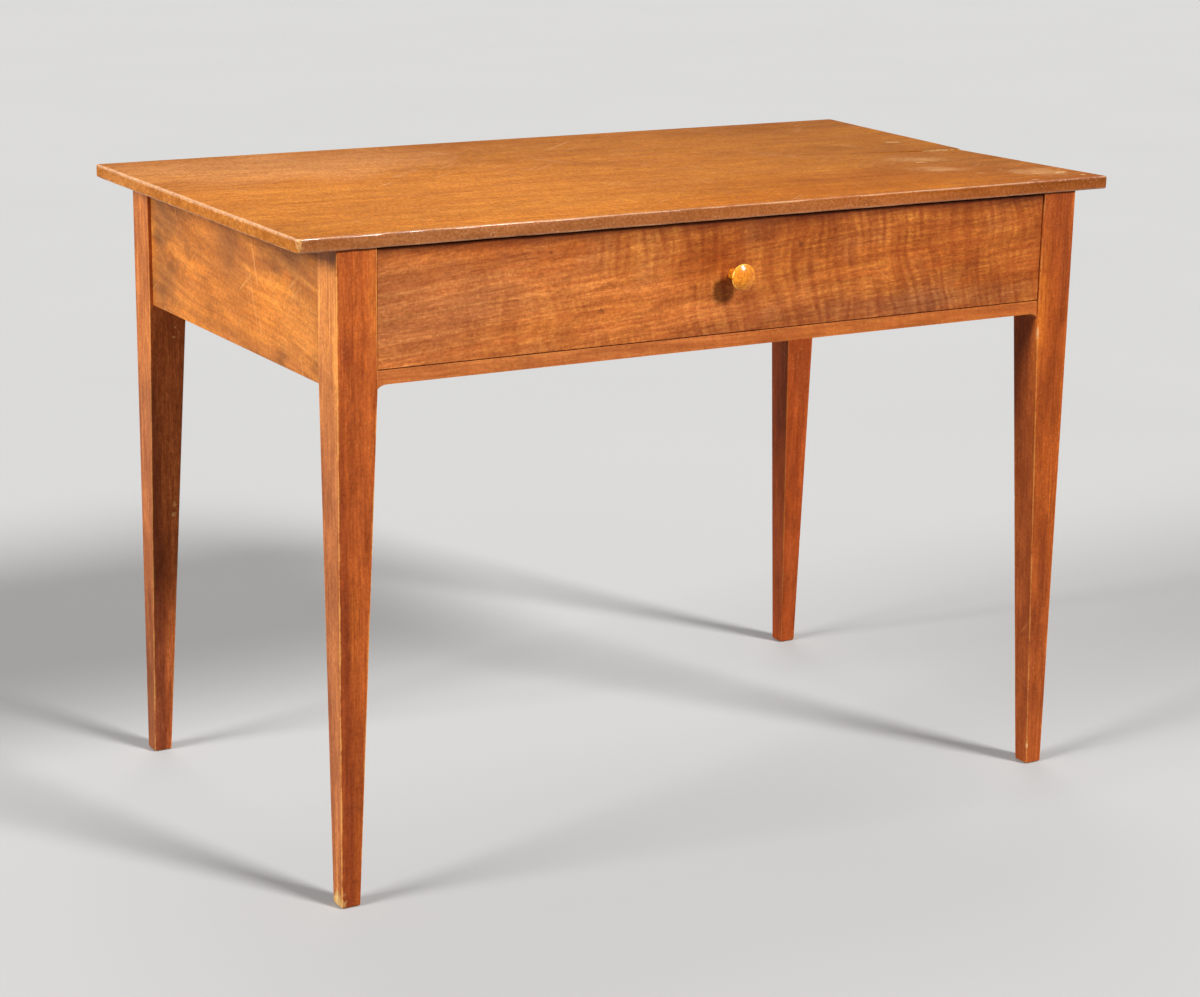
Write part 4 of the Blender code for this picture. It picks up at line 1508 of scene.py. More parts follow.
@dataclass
class Legs:
    """The four square legs, tapered on their inner faces, with rubbed arrises and eased feet."""

    foot: float = 0.0213
    taper_start: float = 0.5505
    arris: float = 0.0009
    dings: float = 0.0016
    foot_easing: float = 0.0022
    seed_step: float = 3.0
    cut_apart: Point = (0.4, 0.06, 0.05)
    from_pith: float = 0.11
    side_skin: Depths = (0.00075, 0.00025)
    faded: tuple[Colour, Colour] = ((1.24, 1.56, 1.30), (1.20, 1.50, 1.25))
    sunny: tuple[Colour, Colour] = ((1.74, 2.84, 3.40), (1.66, 2.70, 3.20))
    # Per leg: painted light lifts the shaded rear left leg, painted reflected light reddens the rear right;
    # wear is real
    painted_light_and_wear: ClassVar[dict[str, dict[str, Colour | float]]] = {
        "front_right": {"wear": 0.34},
        "rear_left": {"pale": (0.91, 0.255, 0.064), "heart": (0.77, 0.19, 0.047), "wear": 0.4},
        "rear_right": {"pale": (0.56, 0.100, 0.014), "heart": (0.45, 0.073, 0.009), "wear": 0.16},
    }
    FRONT_FACE: ClassVar[float] = -0.263
    BLOCK_CUTS: ClassVar[dict[str, int]] = {"Vertices X": 15, "Vertices Y": 15, "Vertices Z": 110}
    # Powers that crowd the block's cuts towards its foot and towards its arrises
    TO_FOOT: ClassVar[float] = 1.5
    TO_ARRIS: ClassVar[float] = 3.0
    DING_DENSITY: ClassVar[Point] = (3.0, 5.0, 38.0)

    def build(self) -> None:
        """Make the legs and dress them."""
        marks = self._marks()
        places = ((-1, -1, "front_left"), (1, -1, "front_right"), (-1, 1, "rear_left"), (1, 1, "rear_right"))
        for number, (hand, end, name) in enumerate(places):
            node = f"{name}_leg"
            low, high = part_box(node)
            corner = Vector((low.x if hand < 0 else high.x, low.y if end < 0 else high.y, 0.0))
            along, across, outwards = self.cut_apart
            shift = (along * number, across * hand, self.from_pith + outwards * number)
            lighter = self.sunny if name == "front_left" else self.faded
            side = Side.facing(node, Axis.X, hand, self.side_skin, *lighter, strength=1.0, tint=True)
            look = {"shift": shift, "marks": marks.get(name, ()), "sides": (side,)}
            finish = replace(LEG_VARNISH, name=f"{node}_varnish", **look, **self.painted_light_and_wear.get(name, {}))
            values = {
                "Height": high.z,
                "Square": high.x - low.x,
                "Foot": self.foot,
                "Taper Start": self.taper_start,
                "Arris": self.arris,
                "Dings": self.dings,
                "Foot Easing": self.foot_easing,
                "Seed": self.seed_step * number,
                "Inward": (-float(hand), -float(end), 1.0),
                "Corner": tuple(corner),
                "Mirrored": hand * end < 0,
                "Material": finish.material(),
            }
            leg = grown(f"{node}_aged", self._tree(), values)
            shade_crisp(leg.data)
            hand_over(leg, FRAME_BODY, finish.slot, node)

    @staticmethod
    @cache
    def _tree() -> bpy.types.NodeTree:
        """The tree that shapes a leg from a block.

        Returns:
            The tree, with taper, rubbed arrises and an eased foot.
        """
        sizes = ("Height", "Square", "Foot", "Taper Start", "Arris", "Dings", "Foot Easing", "Seed")
        inputs = dict.fromkeys(sizes, 0.0) | {"Inward": ORIGIN, "Corner": ORIGIN, "Mirrored": False}
        g = GeometryGraph("tapered_leg", inputs)
        block = g.node("GeometryNodeMeshCube", Legs.BLOCK_CUTS).outputs[0]
        x, y, z = g.position()
        height = g.math("POWER", g.math("ADD", z, 0.5), Legs.TO_FOOT)
        height = g.math("MULTIPLY", height, g.entry["Height"])
        risen = g.math("MINIMUM", g.math("DIVIDE", height, g.entry["Taper Start"]), 1.0)
        growth = g.math("SUBTRACT", g.entry["Square"], g.entry["Foot"])
        half = g.math("MULTIPLY", g.math("MULTIPLY_ADD", risen, growth, g.entry["Foot"]), 0.5)
        depths = []
        for coordinate in (x, y):
            inner = g.math("MULTIPLY_ADD", g.math("ABSOLUTE", coordinate), -2.0, 1.0)
            depths.append(g.math("MULTIPLY", g.math("POWER", inner, Legs.TO_ARRIS), half))
        arris = g.math("MINIMUM", g.math("ADD", *depths), height)
        seat = g.join(g.math("SIGN", x), g.math("SIGN", y), g.math("ADD", height, g.entry["Seed"]))
        struck = g.patches(seat, Legs.DING_DENSITY, 0.6, 0.74, 3.0)
        radius = g.math("MULTIPLY_ADD", struck, g.entry["Dings"], g.entry["Arris"])
        depths = list(Legs._eased(g, depths[0], depths[1], radius))
        for number in (0, 1):
            depths[number], height = Legs._eased(g, depths[number], height, g.entry["Foot Easing"])
        across = []
        for coordinate, depth in zip((x, y), depths):
            outward = g.math("SIGN", coordinate)
            across.append(g.math("MULTIPLY_ADD", outward, g.math("SUBTRACT", half, depth), half))
        turned_in = g.vector("MULTIPLY", g.join(*across, height), g.entry["Inward"])
        place = g.vector("ADD", turned_in, g.entry["Corner"])
        feeds = {"Geometry": g.keep_arris(block, arris), "Position": place}
        leg = g.node("GeometryNodeSetPosition", feeds).outputs[0]
        leg = g.node("GeometryNodeFlipFaces", {"Mesh": leg, "Selection": g.entry["Mirrored"]}).outputs[0]
        return g.close(leg)

    @staticmethod
    def _eased(g: Graph, first: Socket, second: Socket, radius: Socket) -> tuple[Socket, Socket]:
        """Depths behind two faces, moved so that the edge between the faces is round.

        Args:
            g: The tree.
            first: Depth behind one face.
            second: Depth behind the other face.
            radius: Radius of the edge.

        Returns:
            The two new depths.
        """
        short = [g.math("MAXIMUM", g.math("SUBTRACT", radius, depth), 0.0) for depth in (first, second)]
        squares = g.math("ADD", *(g.math("MULTIPLY", side, side) for side in short))
        length = g.math("MAXIMUM", g.math("SQRT", squares), MERGE_BELOW)
        share = g.math("SUBTRACT", 1.0, g.math("DIVIDE", g.math("MAXIMUM", *short), length))
        moved = [g.math("MULTIPLY_ADD", side, share, depth) for side, depth in zip(short, (first, second))]
        return moved[0], moved[1]

    @staticmethod
    def _shade(place: Point, size: Point, tint: Colour, strength: float = 1.0, core: float = 0.0) -> Mark:
        """An even tint with a soft rim."""
        return Mark.stain(place, size, tint, strength, ragged=0.03, grit=12.0, core=core)

    def _streak(self, x: float, z: float, wide: float, tall: float, tint: Colour, strength: float) -> Mark:
        """A streak down the front of a front leg."""
        place, size = (x, self.FRONT_FACE, z), (wide, 0.012, tall)
        return Mark.stain(place, size, tint, strength, ragged=0.25, grit=70.0, core=0.0)

    @staticmethod
    def _chip(x: float, y: float, z: float, wide: float, tall: float) -> Mark:
        """A small chip in an inner arris."""
        return Mark((x, y, z), (wide, 0.006, tall), (0.98, 0.50, 0.17), 0.8, ragged=0.45, grit=420.0)

    def _marks(self) -> dict[str, tuple[Mark, ...]]:
        """Shades, streaks, chips and rubbed places.

        Returns:
            The marks of each leg that has any, in the order they lie on each other.
        """
        pale = (0.66, 0.36, 0.17)
        front = self.FRONT_FACE
        return {
            "front_left": (
                self._shade((-0.450, -0.25, 0.0), (0.2, 0.2, 0.75), (0.40, 0.38, 0.46), 0.3),
                self._shade((-0.468, -0.25, 0.0), (0.02, 0.2, 0.62), (0.66, 0.57, 0.70), core=0.7),
                self._streak(-0.425, 0.640, 0.010, 0.110, (1.25, 1.50, 1.30), 1.0),
                self._streak(-0.456, 0.592, 0.009, 0.030, (0.60, 0.52, 0.75), 0.8),
                self._streak(-0.437, 0.420, 0.014, 0.090, (0.60, 0.55, 0.70), 0.5),
                self._streak(-0.450, 0.300, 0.009, 0.090, (1.25, 1.40, 1.20), 0.9),
                Mark((-0.466, -0.254, 0.005), (0.01, 0.013, 0.016), (0.70, 0.46, 0.17), 0.9, grit=220.0),
            ),
            "front_right": (
                self._shade((0.450, -0.25, 0.0), (0.2, 0.2, 0.70), (0.45, 0.42, 0.50), 0.4),
                self._shade((0.450, -0.266, 0.45), (0.1, 0.014, 0.30), (0.94, 0.90, 0.70), core=0.4),
                self._streak(0.427, 0.570, 0.013, 0.130, (1.30, 1.52, 1.20), 1.0),
                self._streak(0.430, 0.400, 0.010, 0.120, (1.08, 1.10, 1.00), 1.0),
                self._streak(0.458, 0.600, 0.012, 0.100, (0.70, 0.66, 0.80), 0.9),
                self._streak(0.452, 0.260, 0.012, 0.100, (0.60, 0.55, 0.70), 0.8),
                Mark((0.4215, front, 0.533), (0.0028, 0.003, 0.011), pale, 0.85, ragged=0.4, grit=300.0),
                Mark((0.443, front, 0.023), (0.003, 0.003, 0.005), pale, 0.8),
            ),
            "rear_left": (
                self._shade((-0.468, 0.25, 0.0), (0.02, 0.2, 0.58), (0.64, 0.62, 0.82), core=0.7),
                self._shade((-0.450, 0.25, 0.0), (0.2, 0.2, 0.24), (0.74, 0.74, 0.80), core=0.2),
                self._chip(-0.4350, 0.2442, 0.524, 0.0018, 0.0026),
                self._chip(-0.4370, 0.2446, 0.512, 0.0026, 0.0018),
                self._chip(-0.4310, 0.2444, 0.517, 0.0012, 0.0012),
                self._chip(-0.4380, 0.2534, 0.310, 0.0028, 0.0045),
                self._chip(-0.4390, 0.2540, 0.297, 0.0040, 0.0034),
            ),
        }


# Aprons, rail and what carries the drawer


@dataclass
class DrawerFrame:
    """The aprons and the rail between the legs, and the runners, guides and stops inside."""

    apron_arris: float = 0.0007
    rail_arris: float = 0.0009
    inner_arris: float = 0.0005
    end_skin: Depths = (0.00085, 0.00015)
    rear_skin: Depths = (0.0012, 0.0003)

    def build(self) -> None:
        """Make the boards and dress them."""
        left, right, rear = "left_apron", "right_apron", "rear_apron"
        aprons = (
            (left, Axis.Y, (0.3, 0.42, -0.53), 6.0, Side.bare(left, Axis.X, 1, self.end_skin)),
            (right, Axis.Y, (1.3, -0.40, -0.50), -6.0, Side.bare(right, Axis.X, -1, self.end_skin)),
            (rear, Axis.X, (2.1, -0.24, -0.48), 3.0, Side.bare(rear, Axis.Y, -1, self.rear_skin)),
        )
        for node, grain, shift, lean, inside in aprons:
            marks = self._left_marks() if node == left else ()
            look = {"grain": grain, "shift": shift, "tilt": (0.0, lean, 0.0), "sides": (inside,)}
            finish = replace(APRON_VARNISH, name=f"{node}_varnish", marks=marks, **look)
            dress_node(node, FRAME_BODY, finish, self.apron_arris)
        dress_node("front_rail", FRAME_BODY, self._rail_finish(), self.rail_arris)
        for number, hand in enumerate(("left", "right")):
            for part, grain in (("runner", Axis.Y), ("guide", Axis.Y), ("stop", Axis.X)):
                node = f"{hand}_{part}"
                shift = (0.7 * number, 0.33, -0.4 - 0.05 * number)
                finish = replace(BARE_WOOD, name=f"{node}_bare", grain=grain, shift=shift)
                dress_node(node, FRAME_BODY, finish, self.inner_arris)

    @staticmethod
    def _rail_finish() -> WoodFinish:
        """The rail's varnish.

        Returns:
            A finish a little lighter than the drawer's, with a faint ripple.
        """
        place, size = (0.45, -0.26, 0.56), (0.60, 0.05, 0.05)
        return WoodFinish(
            name="front_rail_varnish",
            slot="rail_wood",
            pale=(0.60, 0.198, 0.049),
            heart=(0.49, 0.140, 0.034),
            dark=(0.33, 0.080, 0.020),
            worn=(0.74, 0.33, 0.11),
            shift=(0.9, 0.30, -0.30),
            scratches=0.1,
            curl=0.5,
            ring_width=0.005,
            marks=(Mark.stain(place, size, (0.94, 0.85, 0.70), core=0.4),),
        )

    @staticmethod
    def _left_marks() -> tuple[Mark, ...]:
        """Grey-brown stains on the outside of the left apron.

        Returns:
            The stains, and one pale patch low at the front end, which is painted light.
        """
        # The second tint is painted light: a paler, bluer patch low at the front end
        grey, painted_light_front = (0.42, 0.48, 0.80), (1.04, 1.13, 1.38)
        outside, depth = -0.462, 0.03
        rim = {"ragged": 0.3, "grit": 34.0, "core": 0.05}
        return tuple(
            Mark.stain((outside, y, z), (depth, wide, tall), tint, strength, **rim)
            for y, z, wide, tall, strength, tint in (
                (-0.14, 0.668, 0.11, 0.040, 0.9, grey),
                (0.02, 0.655, 0.07, 0.06, 0.55, grey),
                (0.20, 0.660, 0.10, 0.060, 0.85, grey),
                (0.21, 0.590, 0.07, 0.060, 0.65, grey),
                (-0.215, 0.61, 0.04, 0.08, 0.4, grey),
                (-0.17, 0.600, 0.10, 0.080, 1.0, painted_light_front),
            )
        )


# Drawer


@dataclass
class Drawer:
    """The drawer's front of curly wood and its box of bare boards."""

    face: float = -0.261
    front_arris: float = 0.0006
    box_arris: float = 0.0005
    wedge_arris: float = 0.0005 / 3
    back_skin: Depths = (0.0015, 0.0006)
    shadow_depths: Depths = (0.0147, -0.001)

    def build(self) -> None:
        """Make the boards and dress them."""
        dress_node("drawer_front", DRAWER_BODY, self._face_finish(), self.front_arris)
        boards = (
            ("drawer_left_side", Axis.Y, (0.2, 0.60, -0.55)),
            ("drawer_right_side", Axis.Y, (1.2, -0.24, -0.57)),
            ("drawer_back", Axis.X, (0.5, -0.05, -0.45)),
            ("drawer_bottom", Axis.X, (1.9, 0.12, -0.50)),
            ("knob_wedge", Axis.Y, (0.1, 0.02, -0.63)),
        )
        for node, grain, shift in boards:
            finish = replace(BARE_WOOD, name=f"{node}_bare", grain=grain, shift=shift)
            radius = self.wedge_arris if node == "knob_wedge" else self.box_arris
            dress_node(node, DRAWER_BODY, finish, radius)

    def _face_marks(self) -> tuple[Mark, ...]:
        """The faded, reddened and golden places of the front, and its knots.

        Returns:
            The marks in the order they lie on each other.
        """
        grey, redder, golden = (0.80, 0.92, 1.35), (0.68, 0.54, 0.44), (1.04, 1.07, 1.05)
        wide_rim = {"ragged": 0.15, "grit": 20.0, "core": 0.3}
        tints = (
            Mark.stain((x, self.face, z), (wide, 0.05, tall), tint, **rim)
            for x, z, wide, tall, tint, rim in (
                (-0.42, 0.63, 0.22, 0.11, grey, {"ragged": 0.16, "grit": 18.0, "core": 0.05}),
                (0.27, 0.585, 0.20, 0.022, grey, {"ragged": 0.2, "grit": 24.0, "core": 0.05}),
                (-0.030, 0.655, 0.060, 0.050, redder, {"ragged": 0.25, "grit": 30.0, "core": 0.1}),
                (-0.140, 0.640, 0.09, 0.10, golden, {"ragged": 0.2, "grit": 24.0, "core": 0.0}),
                (0.36, 0.640, 0.34, 0.150, redder, {"ragged": 0.2, "grit": 16.0, "core": 0.05}),
                (0.070, 0.655, 0.170, 0.068, (0.75, 0.65, 0.58), wide_rim),
                (0.060, 0.578, 0.340, 0.050, (0.76, 0.72, 0.84), wide_rim),
                (-0.250, 0.690, 0.170, 0.030, (0.82, 0.72, 0.66), wide_rim),
                (-0.260, 0.636, 0.150, 0.040, (1.04, 1.12, 1.30), wide_rim),
                (0.375, 0.634, 0.075, 0.045, (1.24, 1.38, 1.45), wide_rim),
            )
        )
        knots = (
            Mark((x, self.face, z), size, (0.10, 0.026, 0.010), 0.65, ragged=0.4, grit=320.0, core=0.2)
            for x, z, size in (
                (-0.226, 0.682, (0.0022, 0.01, 0.0022)),
                (-0.224, 0.676, (0.0030, 0.01, 0.0024)),
                (-0.162, 0.610, (0.0060, 0.01, 0.0036)),
                (0.087, 0.662, (0.0050, 0.01, 0.0050)),
                (0.397, 0.683, (0.0050, 0.01, 0.0026)),
            )
        )
        return (*tints, *knots)

    def _face_finish(self) -> WoodFinish:
        """The front's varnish.

        Returns:
            A finish with streaks along the grain, ripples across it and a few knots.
        """
        node, shadow = "drawer_front", ((0.13, 0.024, 0.007), (0.10, 0.018, 0.005))
        inside = Side.bare(node, Axis.Y, 1, self.back_skin)
        under_top = Side.facing(node, Axis.Z, 1, self.shadow_depths, *shadow, strength=0.85)
        return WoodFinish(
            name="drawer_front_varnish",
            slot="drawer_face_wood",
            pale=(0.89, 0.290, 0.057),
            heart=(0.73, 0.202, 0.039),
            dark=(0.22, 0.042, 0.010),
            worn=(0.72, 0.32, 0.11),
            gold=(0.97, 0.41, 0.076),
            shift=(0.35, 0.33, -0.32),
            tilt=(0.0, 4.5, 0.0),
            ring_width=0.007,
            waviness=0.016,
            streaks=0.2,
            clouds=0.45,
            lines=0.2,
            flecks=0.3,
            fibre=0.2,
            strands=0.11,
            mottle=0.12,
            speckle=0.14,
            strand_density=(10.0, 220.0, 220.0),
            smudges=0.65,
            smudge=(0.80, 0.96, 1.45),
            scratches=0.1,
            curl=1.0,
            curl_start=-0.40,
            marks=self._face_marks(),
            sides=(inside, under_top),
        )


@dataclass
class Knob:
    """The turned knob, with a round tenon that runs through the front and is split by a wedge."""

    diameter: float = 0.0287
    projection: float = 0.027
    dome: float = 0.0035
    rim: float = 0.0042
    neck: float = 0.0105
    neck_place: float = 0.0065
    base: float = 0.013
    tenon: float = 0.010
    tenon_length: float = 0.018
    kerf: Point = (0.0021, 0.014, 0.0206)
    sides: int = 72

    def build(self) -> None:
        """Make the knob and dress it."""
        low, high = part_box("drawer_knob")
        seat = (0.0, low.y + self.projection, (low.z + high.z) / 2)
        finish = self._finish()
        knob = grown("drawer_knob_aged", self._tree(), {"Seat": seat, "Material": finish.material()})
        hand_over(knob, DRAWER_BODY, finish.slot, "drawer_knob")

    @staticmethod
    def _finish() -> WoodFinish:
        """The knob's varnish, pale along the rim: wear, and a painted highlight where the rim catches the
        light.
        """
        return WoodFinish(
            name="knob_varnish",
            slot="knob_wood",
            pale=(0.82, 0.29, 0.0145),
            heart=(0.75, 0.233, 0.0103),
            dark=(0.45, 0.100, 0.004),
            # Pale rim: wear, and a painted highlight where the rim catches the light
            worn=(1.0, 0.60, 0.10),
            grain=Axis.Y,
            shift=(0.1, 0.30, -0.66),
            figure_scale=16.0,
            ring_width=0.09,
            waviness=0.03,
            streaks=0.1,
            clouds=0.6,
            lines=0.0,
            strands=0.0,
            mottle=0.2,
            speckle=0.16,
            flecks=0.0,
            fibre=0.1,
            pores=0.0,
            reach=0.003,
            wear=0.8,
            grit=0.1,
            scratches=0.0,
            smudges=0.35,
            smudge=(0.55, 0.45, 0.8),
            roughness=0.3,
            gloss=0.12,
            coat=0.45,
            coat_roughness=0.12,
            relief=0.08,
        )

    def _tree(self) -> bpy.types.NodeTree:
        """The tree that makes the knob.

        Returns:
            The tree, which turns the knob and saws the kerf into its tenon.
        """
        g = GeometryGraph("turned_knob", {"Seat": ORIGIN})
        solid = g.smooth(g.turning(self._profile(), self.sides))
        sawn = g.cut(solid, self.kerf, (0.0, 0.0, -self.tenon_length))
        x, y, _ = g.position()
        from_rim = g.math("SUBTRACT", self.diameter / 2, g.vector("LENGTH", g.join(x, y, 0.0)))
        feeds = {"Geometry": g.keep_arris(sawn, from_rim), "Translation": g.entry["Seat"]}
        feeds["Rotation"] = (math.radians(90), 0.0, 0.0)
        return g.close(g.node("GeometryNodeTransform", feeds).outputs[0])

    def _profile(self) -> Outline:
        """The knob's outline.

        Returns:
            Points of (radius, height), from the end of its tenon to the middle of its face.
        """
        neck, base, tenon = self.neck / 2, self.base / 2, self.tenon / 2
        rim_high = self.projection - self.dome
        rim_low = rim_high - self.rim
        face = (self.diameter - self.rim) / 2
        ball = (face**2 + self.dome**2) / (2 * self.dome)
        spread = math.degrees(math.asin(face / ball))
        return [
            (0.0, -self.tenon_length),
            (tenon, -self.tenon_length),
            (tenon, 0.0),
            *arc((base, self.neck_place), (base - neck, self.neck_place), 270, 180),
            *arc((face, self.neck_place), (face - neck, rim_low - self.neck_place), 180, 90),
            *arc((face, (rim_low + rim_high) / 2), (self.rim / 2, self.rim / 2), -90, 90),
            *arc((0.0, self.projection - ball), (ball, ball), 90 - spread, 90),
        ]


# Screws and nails


@dataclass
class Fasteners:
    """The slotted screws of the frame and the square nails of the drawer bottom."""

    top_screw: float = 0.032
    guide_screw: float = 0.026
    nail: float = 0.022
    screw_sides: int = 28
    screw_head: float = 0.0085
    screw_crown: float = 0.0028
    screw_shank: float = 0.004
    screw_point: float = 0.005
    slot_width: float = 0.0010
    slot_depth: float = 0.0012
    pocket_tilt: float = math.radians(15)
    nail_head: float = 0.0044
    nail_crown: float = 0.0012
    nail_flat: float = 0.45
    nail_flat_rise: float = 0.95
    nail_edge_rise: float = 0.35
    nail_shank: float = 0.002
    nail_point: float = 0.004

    def build(self) -> None:
        """Make the screws and the nails and dress them."""
        steel = IronFinish("screw_steel", "screw_iron", (0.30, 0.28, 0.26), (0.16, 0.075, 0.035), 0.6)
        iron = IronFinish("nail_iron", "nail_iron", (0.13, 0.12, 0.11), (0.13, 0.055, 0.025), 0.8)
        up, out = math.cos(self.pocket_tilt), math.sin(self.pocket_tilt)
        ways = {}
        for hand, sign in (("left", -1), ("right", 1)):
            for end in ("front", "rear"):
                ways[f"{hand}_{end}_top_screw"] = Vector((sign * out, 0.0, up))
                ways[f"{hand}_{end}_guide_screw"] = Vector((0.0, 0.0, -1.0))
        for place in ("left", "middle", "right"):
            ways[f"rear_{place}_top_screw"] = Vector((0.0, out, up))
        for kind, length in (("top_screw", self.top_screw), ("guide_screw", self.guide_screw)):
            chosen = {node: way for node, way in ways.items() if node.endswith(kind)}
            self._drive(self._screw_tree(f"{kind}s", length), chosen, length, steel, FRAME_BODY)
        nails = {f"bottom_{place}_nail": Vector((0.0, 0.0, 1.0)) for place in ("left", "middle", "right")}
        self._drive(self._nail_tree(), nails, self.nail, iron, DRAWER_BODY)

    def _drive(
        self,
        tree: bpy.types.NodeTree,
        ways: dict[str, Vector],
        length: float,
        finish: IronFinish,
        body: str,
    ) -> None:
        """Make one kind of fastener at all its places, as one piece.

        Args:
            tree: The tree that makes it, with the piece's name.
            ways: The way of each fastener, by its CAD node.
            length: Length from seat to point.
            finish: Its look.
            body: The body that it moves with.
        """
        seats = self._seats(tree.name, ways, length)
        piece = grown(tree.name, tree, {"Material": finish.material()}, seats)
        hand_over(piece, body, finish.slot, *ways)

    @staticmethod
    def _seats(name: str, ways: dict[str, Vector], length: float) -> bpy.types.Mesh:
        """Points where the heads sit, each with the way its fastener is driven.

        Args:
            name: Name of the mesh.
            ways: The way of each fastener, by its CAD node.
            length: Length from seat to point.

        Returns:
            A mesh of points.
        """
        places = []
        for node, way in ways.items():
            tip = max((v.co for v in frame["nodes"][node].data.vertices), key=way.dot)
            places.append(tip - way * length)
        mesh = bpy.data.meshes.new(f"{name}_seats")
        mesh.from_pydata(places, [], [])
        layer = mesh.attributes.new("way", "FLOAT_VECTOR", "POINT")
        layer.data.foreach_set("vector", [value for way in ways.values() for value in way])
        return mesh

    @staticmethod
    def _driven(g: GeometryGraph, shape: Socket) -> bpy.types.NodeTree:
        """Put a shape on every seat, turned the way it is driven.

        Args:
            g: The tree.
            shape: One fastener, upright.

        Returns:
            The finished tree.
        """
        way = g.node("GeometryNodeInputNamedAttribute", {"Name": "way"}, data_type="FLOAT_VECTOR").outputs[0]
        turn = g.node("FunctionNodeAlignRotationToVector", {"Vector": way}, axis="Z").outputs[0]
        feeds = {"Points": g.entry["Geometry"], "Instance": shape, "Rotation": turn}
        return g.close(g.node("GeometryNodeInstanceOnPoints", feeds).outputs[0])

    def _screw_tree(self, name: str, length: float) -> bpy.types.NodeTree:
        """The tree of a slotted round-head screw.

        Args:
            name: The tree's name.
            length: Length from seat to point.

        Returns:
            The tree.
        """
        g = GeometryGraph(name, {})
        head, shank = self.screw_head / 2, self.screw_shank / 2
        profile = arc((0.0, 0.0), (head, self.screw_crown), -90, 0)
        profile += [(shank, 0.0), (shank, length - self.screw_point), (0.0, length)]
        solid = g.smooth(g.turning(profile, self.screw_sides))
        size = (2 * self.screw_head, self.slot_width, 2 * self.slot_depth)
        return self._driven(g, g.cut(solid, size, (0.0, 0.0, -self.screw_crown)))

    def _nail_tree(self) -> bpy.types.NodeTree:
        """The tree of a square nail.

        Returns:
            The tree, of a nail with a low four-sided head.
        """
        g = GeometryGraph("bottom_nails", {})
        head, shank = self.nail_head / math.sqrt(2), self.nail_shank / math.sqrt(2)
        crown = -self.nail_crown
        flat = (head * self.nail_flat, crown * self.nail_flat_rise)
        profile = [(0.0, crown), flat, (head, crown * self.nail_edge_rise), (head, 0.0)]
        profile += [(shank, 0.0), (shank, self.nail - self.nail_point), (0.0, self.nail)]
        squared = (0.0, 0.0, math.radians(45))
        feeds = {"Geometry": g.turning(profile, 4), "Rotation": squared}
        return self._driven(g, g.node("GeometryNodeTransform", feeds).outputs[0])


# Studio


@dataclass(frozen=True)
class Lamp:
    """A lamp so far away that its light is even over the whole floor."""

    name: str
    place: Point
    spread: float
    strength: float

    def build(self) -> None:
        """Hang the lamp, aimed at the foot of the table and unseen by the camera."""
        light = bpy.data.lights.new(self.name, "SUN")
        light.angle = math.radians(self.spread)
        light.energy = self.strength
        lamp = add_object(self.name, light)
        lamp.location = self.place
        lamp.rotation_euler = (-Vector(self.place)).to_track_quat("-Z", "Y").to_euler()
        lamp.visible_camera = False


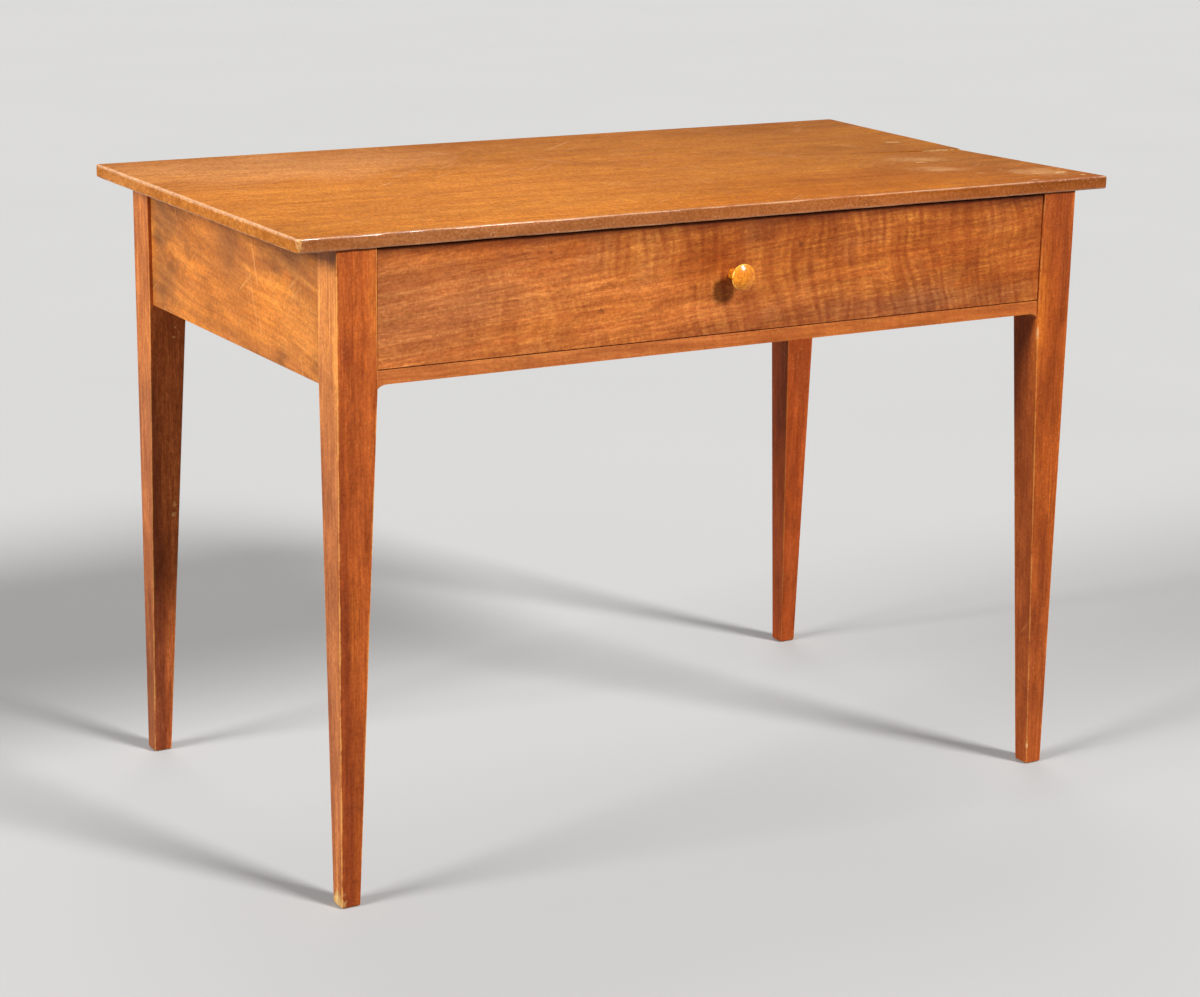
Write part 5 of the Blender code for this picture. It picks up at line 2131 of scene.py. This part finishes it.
@dataclass
class Studio:
    """The pale floor, the lamps and the camera at the photograph's angle."""

    floor_reach: float = 60.0
    floor_drop: float = 0.0003
    floor_seen: Colour = (0.45, 0.447, 0.44)
    floor_bounce: Colour = (0.165, 0.148, 0.132)
    floor_dimming: float = 0.96
    floor_roughness: float = 0.9
    floor_gloss: float = 0.1
    cloud_density: Point = (1.3, 1.3, 1.3)
    sky_seen: Colour = (0.62, 0.62, 0.62)
    sky_light: Colour = (0.145, 0.145, 0.15)
    camera_place: Point = (-1.5743, -2.6487, 1.1628)
    camera_right: Point = (0.86253, -0.50574, 0.01641)
    camera_ahead: Point = (0.49176, 0.83015, -0.26272)
    lens: float = 81.279
    film_width: float = 36.0
    lamps: tuple[Lamp, ...] = (
        Lamp("key_lamp", (3.60, -7.26, 5.86), 14.0, 4.2),
        Lamp("left_lamp", (-3.50, -0.25, 1.70), 22.0, 3.7),
        Lamp("rear_lamp", (0.80, 2.20, 3.20), 30.0, 0.6),
    )

    def build(self) -> None:
        """Set up floor, lamps, world and camera."""
        self._floor()
        for lamp in self.lamps:
            lamp.build()
        self._world()
        self._camera()
        bpy.context.scene.view_settings.view_transform = "Standard"

    def _floor(self) -> None:
        """Lay the floor: pale to the camera, dimmer in the light that it throws back."""
        reach = self.floor_reach
        mesh = bpy.data.meshes.new("floor")
        corners = [(-reach, -reach), (reach, -reach), (reach, reach), (-reach, reach)]
        mesh.from_pydata([(x, y, -self.floor_drop) for x, y in corners], [], [(0, 1, 2, 3)])
        material = bpy.data.materials.new("floor_paper")
        material.use_nodes = True
        g = Graph(material.node_tree)
        place = g.node("ShaderNodeTexCoord").outputs["Object"]
        cloud = g.noise(place, self.cloud_density, 3.0)
        dimmer = tuple(self.floor_dimming * value for value in self.floor_seen)
        seen = g.mix(cloud, self.floor_seen, dimmer)
        feeds = {"Base Color": g.mix(g.shown_rays(), self.floor_bounce, seen)}
        feeds |= {"Roughness": self.floor_roughness, "Specular IOR Level": self.floor_gloss}
        g.feed_all(material.node_tree.nodes["Principled BSDF"], feeds)
        mesh.materials.append(material)
        add_object("floor", mesh)

    def _world(self) -> None:
        """Set the plain light all round, with a pale backdrop for the camera."""
        world = bpy.data.worlds.new("studio")
        world.use_nodes = True
        g = Graph(world.node_tree)
        sky = g.mix(g.shown_rays(), self.sky_light, self.sky_seen)
        g.feed(world.node_tree.nodes["Background"].inputs["Color"], sky)
        bpy.context.scene.world = world

    def _camera(self) -> None:
        """Set the camera where the photograph was taken from."""
        data = bpy.data.cameras.new("camera")
        data.sensor_fit = "HORIZONTAL"
        data.sensor_width = self.film_width
        data.lens = self.lens
        camera = add_object("camera", data)
        right, ahead = Vector(self.camera_right).normalized(), Vector(self.camera_ahead).normalized()
        up = right.cross(ahead).normalized()
        turn = Matrix((right, up, -ahead)).transposed().to_4x4()
        camera.matrix_world = Matrix.Translation(self.camera_place) @ turn
        bpy.context.scene.camera = camera


def main() -> None:
    """Build every sub-assembly in order."""
    logging.basicConfig(level=logging.INFO, format="%(name)s %(message)s")
    for assembly in (TableTop(), Legs(), DrawerFrame(), Drawer(), Knob(), Fasteners(), Studio()):
        LOG.info("building %s", type(assembly).__name__)
        assembly.build()


if __name__ == "__main__":
    main()
